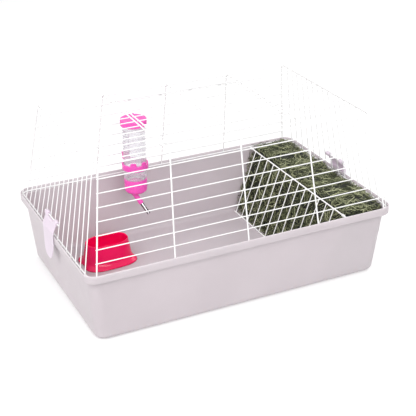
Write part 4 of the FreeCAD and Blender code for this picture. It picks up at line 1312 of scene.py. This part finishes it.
def leverMesh(barX):
    # the plate of the clip: a smooth shield whose outline narrows to the foot
    c = clip
    inner = tray["rim"][0] + c["gap"]
    thick = c["thick"]
    outer = inner + thick
    rows = []
    stations = (                                                  # height, middle, thickness, half width
        (c["barZ"] - 0.002, barX + 0.0036, 0.0052, 0.0375),
        (c["barZ"] - 0.008, barX + 0.0052, 0.0050, 0.0376),
        (0.203, barX + 0.0084, 0.0046, 0.0378), (0.196, outer - 0.0019, 0.0036, 0.0378),
        (0.188, outer - 0.0016, thick, 0.0376), (0.176, outer - 0.0015, thick, 0.0372),
        (0.164, outer - 0.0014, thick + 0.0002, 0.0362), (0.152, outer - 0.0010, thick + 0.0004, 0.0340),
        (0.141, outer - 0.0002, thick + 0.0006, 0.0305), (0.131, outer, thick + 0.0006, 0.0255),
        (0.123, outer + 0.0003, thick + 0.0002, 0.0195), (0.1185, outer + 0.0004, thick - 0.0006, 0.0130))
    steps = 36
    for z, x, deep, half in stations:
        ring = []
        for k in range(steps):
            a = 2 * math.pi * k / steps
            y = half * math.copysign(abs(math.cos(a)) ** 0.35, math.cos(a))
            u = deep / 2 * math.copysign(abs(math.sin(a)) ** 0.7, math.sin(a))
            bow = 0.0012 * (1 - (y / 0.038) ** 2)
            ring.append(Vector((x + u + bow - 0.0008, y, z)))
        rows.append(ring)
    return skinRings(rows, "lever", sum(rows[0], Vector()) / steps, sum(rows[-1], Vector()) / steps)


def hookMesh():
    # the catch that sits under the rim of the tray
    inner = tray["rim"][0] + clip["gap"]
    back = inner + 0.001
    tip = inner - 0.0046
    half = clip["hookHalf"]
    return boxMesh([(back, -half, 0.1652), (back, half, 0.1652), (back, half, 0.157), (back, -half, 0.157),
                    (tip, -half, 0.1648), (tip, half, 0.1648), (tip, half, 0.1622), (tip, -half, 0.1622)],
                   "hook")


def earMesh(barX, y):
    # a round ear that wraps the bar
    c = clip
    ear = bpy.data.meshes.new("ear")
    work = bmesh.new()
    spin = Matrix.Translation((barX, y, c["barZ"])) @ Matrix.Rotation(math.radians(90), 4, "X")
    bmesh.ops.create_cone(work, cap_ends=True, segments=40, radius1=c["earR"] - 0.0001,
                          radius2=c["earR"] - 0.0001, depth=2 * c["earHalf"], matrix=spin)
    work.to_mesh(ear)
    work.free()
    return ear


def windowBlock(barX):
    # the block that clears the space between the two ears
    c = clip
    cutter = bpy.data.meshes.new("window")
    work = bmesh.new()
    bmesh.ops.create_cube(work, size=1.0, matrix=Matrix.Translation((barX, 0, c["barZ"]))
                          @ Matrix.Diagonal((0.03, 2 * (c["earY"] - c["earHalf"]), 0.030, 1)))
    work.to_mesh(cutter)
    work.free()
    window = bpy.data.objects.new("windowHolder", cutter)
    bpy.context.scene.collection.objects.link(window)
    return window


def meltTogether(mesh, window):
    # joins the parts of the clip into one skin, cuts the window out and softens the edges
    holder = bpy.data.objects.new("clipHolder", mesh)
    bpy.context.scene.collection.objects.link(holder)

    def remesh():
        made = holder.modifiers.new("melt", "REMESH")
        made.mode = "VOXEL"
        made.voxel_size = clip["voxel"]

    remesh()
    cut = holder.modifiers.new("window", "BOOLEAN")
    cut.operation = "DIFFERENCE"
    cut.solver = "FAST"
    cut.object = window
    remesh()
    soften = holder.modifiers.new("soften", "SMOOTH")
    soften.factor = 0.5
    soften.iterations = 5
    graph = bpy.context.evaluated_depsgraph_get()
    done = bpy.data.meshes.new_from_object(holder.evaluated_get(graph))
    bpy.data.objects.remove(holder)
    bpy.data.objects.remove(window)
    return done


def makeClip(label, side):
    c = clip
    low, high = 0.180, 0.420
    lean = (endX(low) - endX(high)) / (high - low)
    reach = wireTop["endR"] + c["barR"] + wireTop["touch"]
    barX = endX(c["barZ"]) + reach * math.sqrt(1 + lean * lean)
    ears = [earMesh(barX, end * c["earY"]) for end in (-1, 1)]
    mesh = meltTogether(joinMeshes([leverMesh(barX), hookMesh(), *ears], "clipRaw"), windowBlock(barX))
    if side < 0:
        mesh.transform(Matrix.Rotation(math.pi, 4, "Z"))
    node = label + "_clip"
    keep(mesh, label + "Clip", finishes["clip"], node, [node], sharp=60)
    x = side * barX
    bar = straightWire(label + "ClipBar", (x, -c["barHalf"], c["barZ"]), (x, c["barHalf"], c["barZ"]),
                       c["barR"], 14)
    keepWire(bar, label + "ClipBar", [label + "_clip_bar"])


makeClip("left", -1)
makeClip("right", 1)
print("clips made")


hay = {
    "coreLevels": ((0.0075, 0.012), (0.014, 0.005), (0.05, 0.004), (0.10, 0.004), (0.150, 0.004),
                   (0.172, 0.004), (0.179, 0.005), (0.1830, 0.009), (0.1845, 0.018)),
    "coreGap": 0.004, "coreRadius": 0.018, "wallGap": 0.0015, "rackGap": 0.0005, "curl": 0.009,
    "ceiling": 0.1876, "floorGap": 0.0065, "rodRoom": 0.0085,
    "groups": (("hayLoose", 15000.0, 0.050, 0.00085, 7), ("hayFine", 19000.0, 0.036, 0.00060, 19),
               ("hayLong", 6500.0, 0.078, 0.00105, 31)),
}


def hayLevel(z, inset):
    rackX = rack["foot"][0] + (rack["pivot"][0] - rack["foot"][0]) * (z - rack["foot"][1]) / (
        rack["pivot"][1] - rack["foot"][1])
    gap = hay["coreGap"] + inset
    wallX, wallY, _ = wallAt(z, tray["wallThick"])
    return rackX + gap, wallX - gap, wallY - gap


def hayShadeCoreMesh():
    # the heap under the strands: a rounded block that leans with the rack; its near-black colour is painted
    # shade between the strands
    h = hay
    ringsHere = []
    radius = h["coreRadius"]
    corners = ((1, -1, -90), (1, 1, 0), (-1, 1, 90), (-1, -1, 180))
    for z, inset in h["coreLevels"]:
        left, right, halfY = hayLevel(z, inset)
        midX = (left + right) / 2
        halfX = (right - left) / 2

        def cornerPoint(number, degrees):
            sideX, sideY, _ = corners[number % 4]
            a = math.radians(degrees)
            return Vector((midX + sideX * (halfX - radius) + radius * math.cos(a),
                           sideY * (halfY - radius) + radius * math.sin(a), z))

        ring = []
        for number, (_, _, turn) in enumerate(corners):
            ring += [cornerPoint(number, turn + 15 * k) for k in range(6)]
            start, end = cornerPoint(number, turn + 90), cornerPoint(number + 1, turn + 90)
            span = 24 if abs(start.y - end.y) > 0.1 else 9
            ring += [start.lerp(end, k / span) for k in range(span)]
        ringsHere.append(ring)
    top = ringsHere[-1]
    middle = sum(top, Vector()) / len(top)
    for share in (0.7, 0.4, 0.15):
        ringsHere.append([middle.lerp(p, share) + Vector((0, 0, 0.0015 * (1 - share))) for p in top])
    low = ringsHere[0]
    lowMiddle = sum(low, Vector()) / len(low)
    return skinRings(ringsHere, "hayShadeCore", lowMiddle, middle + Vector((0, 0, 0.0018)))


def rodSide(t, height, foot, way):
    # how far right a strand starts near the rack's top rod, so that the rack has room to swing
    below = t.math("SUBTRACT", height, t.math("ADD", foot.outputs[2], way.outputs[2]))
    room = t.math("SUBTRACT", t.squared(t.given("Rod Room")), t.squared(below))
    rodX = t.math("ADD", foot.outputs[0], way.outputs[0])
    side = t.math("ADD", rodX, t.math("SQRT", t.math("MAXIMUM", room, 0.0)))
    return t.math("SUBTRACT", side, t.math("LESS_THAN", room, 0.0))


def hayTree():
    # curved strands scattered over the heap, kept inside the tray and just through the rack
    t = TreeMaker("hayStrands", [
        ("Density", "Float", 1000.0), ("Strand Length", "Float", 0.05), ("Strand Radius", "Float", 0.0005),
        ("Curl", "Float", 0.012), ("Seed", "Int", 1), ("Rack Foot", "Vector", None),
        ("Rack Way", "Vector", None), ("Wall X", "Float", 0.37), ("Wall Y", "Float", 0.23),
        ("Wall Slope", "Float", 0.09), ("Corner Radius", "Float", 0.02), ("Rod Room", "Float", 0.008),
        ("Floor Gap", "Float", 0.006), ("Ceiling", "Float", 0.187), ("Coat", "Material", None)])
    scatter = t.node("GeometryNodeDistributePointsOnFaces", {
        "Mesh": t.given("Geometry"), "Density": t.given("Density"), "Seed": t.given("Seed")})

    def random(low, high, shift):
        made = t.node("FunctionNodeRandomValue", data_type="FLOAT")
        t.feed(made.inputs[2], low)
        t.feed(made.inputs[3], high)
        t.feed(made.inputs["Seed"], t.math("ADD", t.given("Seed"), float(shift)))
        return made.outputs[1]

    line = t.node("GeometryNodeCurvePrimitiveLine", {"Start": (-0.5, 0.0, 0.0), "End": (0.5, 0.0, 0.0)})
    stem = t.node("GeometryNodeResampleCurve", {"Curve": line.outputs[0], "Count": 6})
    spots = t.node("GeometryNodeInstanceOnPoints",
                   {"Points": scatter.outputs["Points"], "Instance": stem.outputs[0]})
    align = t.node("FunctionNodeAlignRotationToVector", {"Vector": scatter.outputs["Normal"]}, axis="Z")
    spin = t.node("FunctionNodeAxisAngleToRotation",
                  {"Axis": (0.0, 0.0, 1.0), "Angle": random(0.0, 6.283, 11)})
    tilt = t.node("FunctionNodeAxisAngleToRotation",
                  {"Axis": (0.0, 1.0, 0.0), "Angle": random(-0.45, 0.45, 12)})
    turned = align
    for by in (spin, tilt):
        turned = t.node("FunctionNodeRotateRotation",
                        {"Rotation": turned.outputs[0], "Rotate By": by.outputs[0]}, rotation_space="LOCAL")
    t.feed(spots.inputs["Rotation"], turned.outputs[0])
    long = t.math("MULTIPLY", t.given("Strand Length"), random(0.45, 1.5, 13))
    t.feed(spots.inputs["Scale"], t.node("ShaderNodeCombineXYZ", {"X": long, "Y": 1.0, "Z": 1.0}).outputs[0])
    tone = t.node("GeometryNodeStoreNamedAttribute", {
        "Geometry": spots.outputs[0], "Name": "strandTone", "Value": random(0.0, 1.0, 14)},
        data_type="FLOAT", domain="INSTANCE")
    real = t.node("GeometryNodeRealizeInstances", {"Geometry": tone.outputs[0]})
    here = t.node("GeometryNodeInputPosition").outputs[0]
    wob = t.node("ShaderNodeTexNoise", {"Scale": 26.0, "Detail": 1.0, "Vector": here})
    centred = t.vector("SUBTRACT", wob.outputs["Color"], (0.5, 0.5, 0.5))
    swing = t.vector("SCALE", centred, scale=t.math("MULTIPLY", t.given("Curl"), 3.0))
    bent = t.node("GeometryNodeSetPosition", {"Geometry": real.outputs[0], "Offset": swing})
    parts = t.node("ShaderNodeSeparateXYZ", {"Vector": here})
    x, y, z = parts.outputs[0], parts.outputs[1], parts.outputs[2]
    safeZ = t.limit(z, t.given("Floor Gap"), t.given("Ceiling"))
    foot = t.node("ShaderNodeSeparateXYZ", {"Vector": t.given("Rack Foot")})
    way = t.node("ShaderNodeSeparateXYZ", {"Vector": t.given("Rack Way")})
    climb = t.math("DIVIDE", t.math("SUBTRACT", safeZ, foot.outputs[2]), way.outputs[2])
    leftX = t.math("ADD", t.math("MULTIPLY", climb, way.outputs[0]), foot.outputs[0])
    leftX = t.math("MAXIMUM", leftX, rodSide(t, safeZ, foot, way))
    slope = t.math("MULTIPLY", safeZ, t.given("Wall Slope"))
    rightX = t.math("ADD", slope, t.given("Wall X"))
    halfY = t.math("ADD", slope, t.given("Wall Y"))
    safeY = t.limit(y, t.math("MULTIPLY", halfY, -1.0), halfY)
    radius = t.given("Corner Radius")                             # the tray's round corners
    past = t.math("SUBTRACT", t.math("ABSOLUTE", safeY), t.math("SUBTRACT", halfY, radius))
    past = t.math("MAXIMUM", past, 0.0)
    room = t.math("MAXIMUM", t.math("SUBTRACT", t.squared(radius), t.squared(past)), 0.0)
    cut = t.math("SUBTRACT", radius, t.math("SQRT", room))
    safeX = t.limit(x, leftX, t.math("SUBTRACT", rightX, cut))
    spot = t.node("ShaderNodeCombineXYZ", {"X": safeX, "Y": safeY, "Z": safeZ})
    inside = t.node("GeometryNodeSetPosition", {"Geometry": bent.outputs[0], "Position": spot.outputs[0]})
    along = t.node("GeometryNodeSplineParameter").outputs["Factor"]
    taper = t.math("SUBTRACT", 1.0, t.math("MULTIPLY", along, 0.6))
    thin = t.node("GeometryNodeSetCurveRadius", {"Curve": inside.outputs[0], "Radius": taper})
    ring = t.node("GeometryNodeCurvePrimitiveCircle", {"Resolution": 3, "Radius": t.given("Strand Radius")})
    solid = t.node("GeometryNodeCurveToMesh",
                   {"Curve": thin.outputs[0], "Profile Curve": ring.outputs["Curve"], "Fill Caps": True})
    if "Scale" in solid.inputs:
        t.feed(solid.inputs["Scale"], taper)
    t.end(solid.outputs[0], t.given("Coat"))
    return t


def makeHay():
    h = hay
    core = hayShadeCoreMesh()
    strands = hayTree()
    rackWay = (rack["pivot"][0] - rack["foot"][0], 0.0, rack["pivot"][1] - rack["foot"][1])
    slope = (tray["wallTop"][0] - tray["foot"][0]) / tray["ledgeZ"]
    common = {
        "Curl": h["curl"], "Rack Foot": (rack["foot"][0] + h["rackGap"], 0.0, rack["foot"][1]),
        "Rack Way": rackWay, "Wall X": tray["foot"][0] - tray["wallThick"] - h["wallGap"],
        "Wall Y": tray["foot"][1] - tray["wallThick"] - h["wallGap"], "Wall Slope": slope,
        "Corner Radius": tray["footRadius"], "Rod Room": h["rodRoom"], "Floor Gap": h["floorGap"],
        "Ceiling": h["ceiling"], "Coat": finishes["hay"]}
    stands = ["hay"]                                              # the first group replaces the CAD node
    for name, density, length, radius, seed in h["groups"]:
        mesh = growMesh(strands, name, {**common, "Density": density, "Strand Length": length,
                                        "Strand Radius": radius, "Seed": seed}, core.copy())
        print(name, len(mesh.polygons), "faces")
        keep(mesh, name, finishes["hay"], "cage", stands, sharp=None)
        stands = []
    # the near-black heap under the strands is painted shade
    keep(core, "hayShadeCore", finishes["hayShadeCore"], "cage", sharp=None)


makeHay()
print("hay made")


for nodeName, finish in (("rack_hangers", "wire"), ("bottle_hanger", "pink"), ("spout_ball", "steelPaintedReflection")):
    mesh = nodes[nodeName].data
    mesh.materials.clear()
    mesh.materials.append(finishes[finish])


studio = {
    "eye": (-1.00816, -2.12718, 1.31025), "look": (0.38985, 0.80888, -0.44015), "roll": -0.51, "lens": 89.98,
    "paper": (0.90, 0.90, 0.90), "paperGlow": 0.06, "sheetHalf": 9, "sheetZ": -0.0005, "sky": 0.76,
    "lamps": (("keyLight", (-2.6, -0.6, 1.9), (0, 0, 0.1), 2.4, 50, (1.0, 0.99, 0.99)),
              ("boxLight", (-0.35, -3.0, 2.1), (0, 0, 0.1), 2.6, 76, (1.0, 1.0, 1.0)),
              ("backLight", (2.6, 1.7, 1.9), (0, 0, 0.1), 2.4, 34, (1.0, 1.0, 1.0)),
              ("topLight", (0.0, 0.0, 3.0), (0, 0, 0.0), 2.0, 4, (1, 1, 1))),
}


def makeStage():
    half, z = studio["sheetHalf"], studio["sheetZ"]
    corners = [(-half, -half, z), (half, -half, z), (half, half, z), (-half, half, z)]
    mesh = meshFrom(corners, [(0, 1, 2, 3)], "floorSheet")
    floor = bpy.data.objects.new("floorSheet", mesh)
    bpy.context.scene.collection.objects.link(floor)
    material, tree, shader, place = startMaterial("floorPaper")
    paper = studio["paper"]
    shade = tuple(c * 0.99 for c in paper)
    tone = blendColour(tree, noiseNode(tree, place, 3.0, 2.0), (0.3, shade), (0.7, paper))
    tree.links.new(tone, shader.inputs["Base Color"])
    shader.inputs["Roughness"].default_value = 0.9
    shader.inputs["Emission Color"].default_value = (1, 1, 1, 1)
    shader.inputs["Emission Strength"].default_value = studio["paperGlow"]
    mesh.materials.append(material)
    floor.visible_diffuse = False                                 # so the sheet does not light the tray

    world = bpy.data.worlds.new("studioWorld")
    world.use_nodes = True
    ground = world.node_tree.nodes["Background"]
    ground.inputs[0].default_value = (1.0, 1.0, 1.0, 1)
    ground.inputs[1].default_value = studio["sky"]
    bpy.context.scene.world = world

    for name, spot, aim, size, power, colour in studio["lamps"]:
        data = bpy.data.lights.new(name, "AREA")
        data.size = size
        data.energy = power
        data.color = colour
        lamp = bpy.data.objects.new(name, data)
        bpy.context.scene.collection.objects.link(lamp)
        lamp.location = spot
        lamp.rotation_euler = (Vector(aim) - Vector(spot)).to_track_quat("-Z", "Y").to_euler()


def makeCamera():
    s = studio
    data = bpy.data.cameras.new("studioCamera")
    data.sensor_width = 36.0
    data.lens = s["lens"]
    camera = bpy.data.objects.new("studioCamera", data)
    bpy.context.scene.collection.objects.link(camera)
    forward = Vector(s["look"]).normalized()
    right = forward.cross(Vector((0, 0, 1))).normalized()
    up = right.cross(forward)
    roll = math.radians(s["roll"])
    right2 = right * math.cos(roll) + up * math.sin(roll)
    up2 = up * math.cos(roll) - right * math.sin(roll)
    turn = Matrix((right2, up2, -forward)).transposed().to_4x4()
    camera.matrix_world = Matrix.Translation(s["eye"]) @ turn
    bpy.context.scene.camera = camera


makeStage()
makeCamera()
bpy.context.scene.view_settings.view_transform = "Standard"
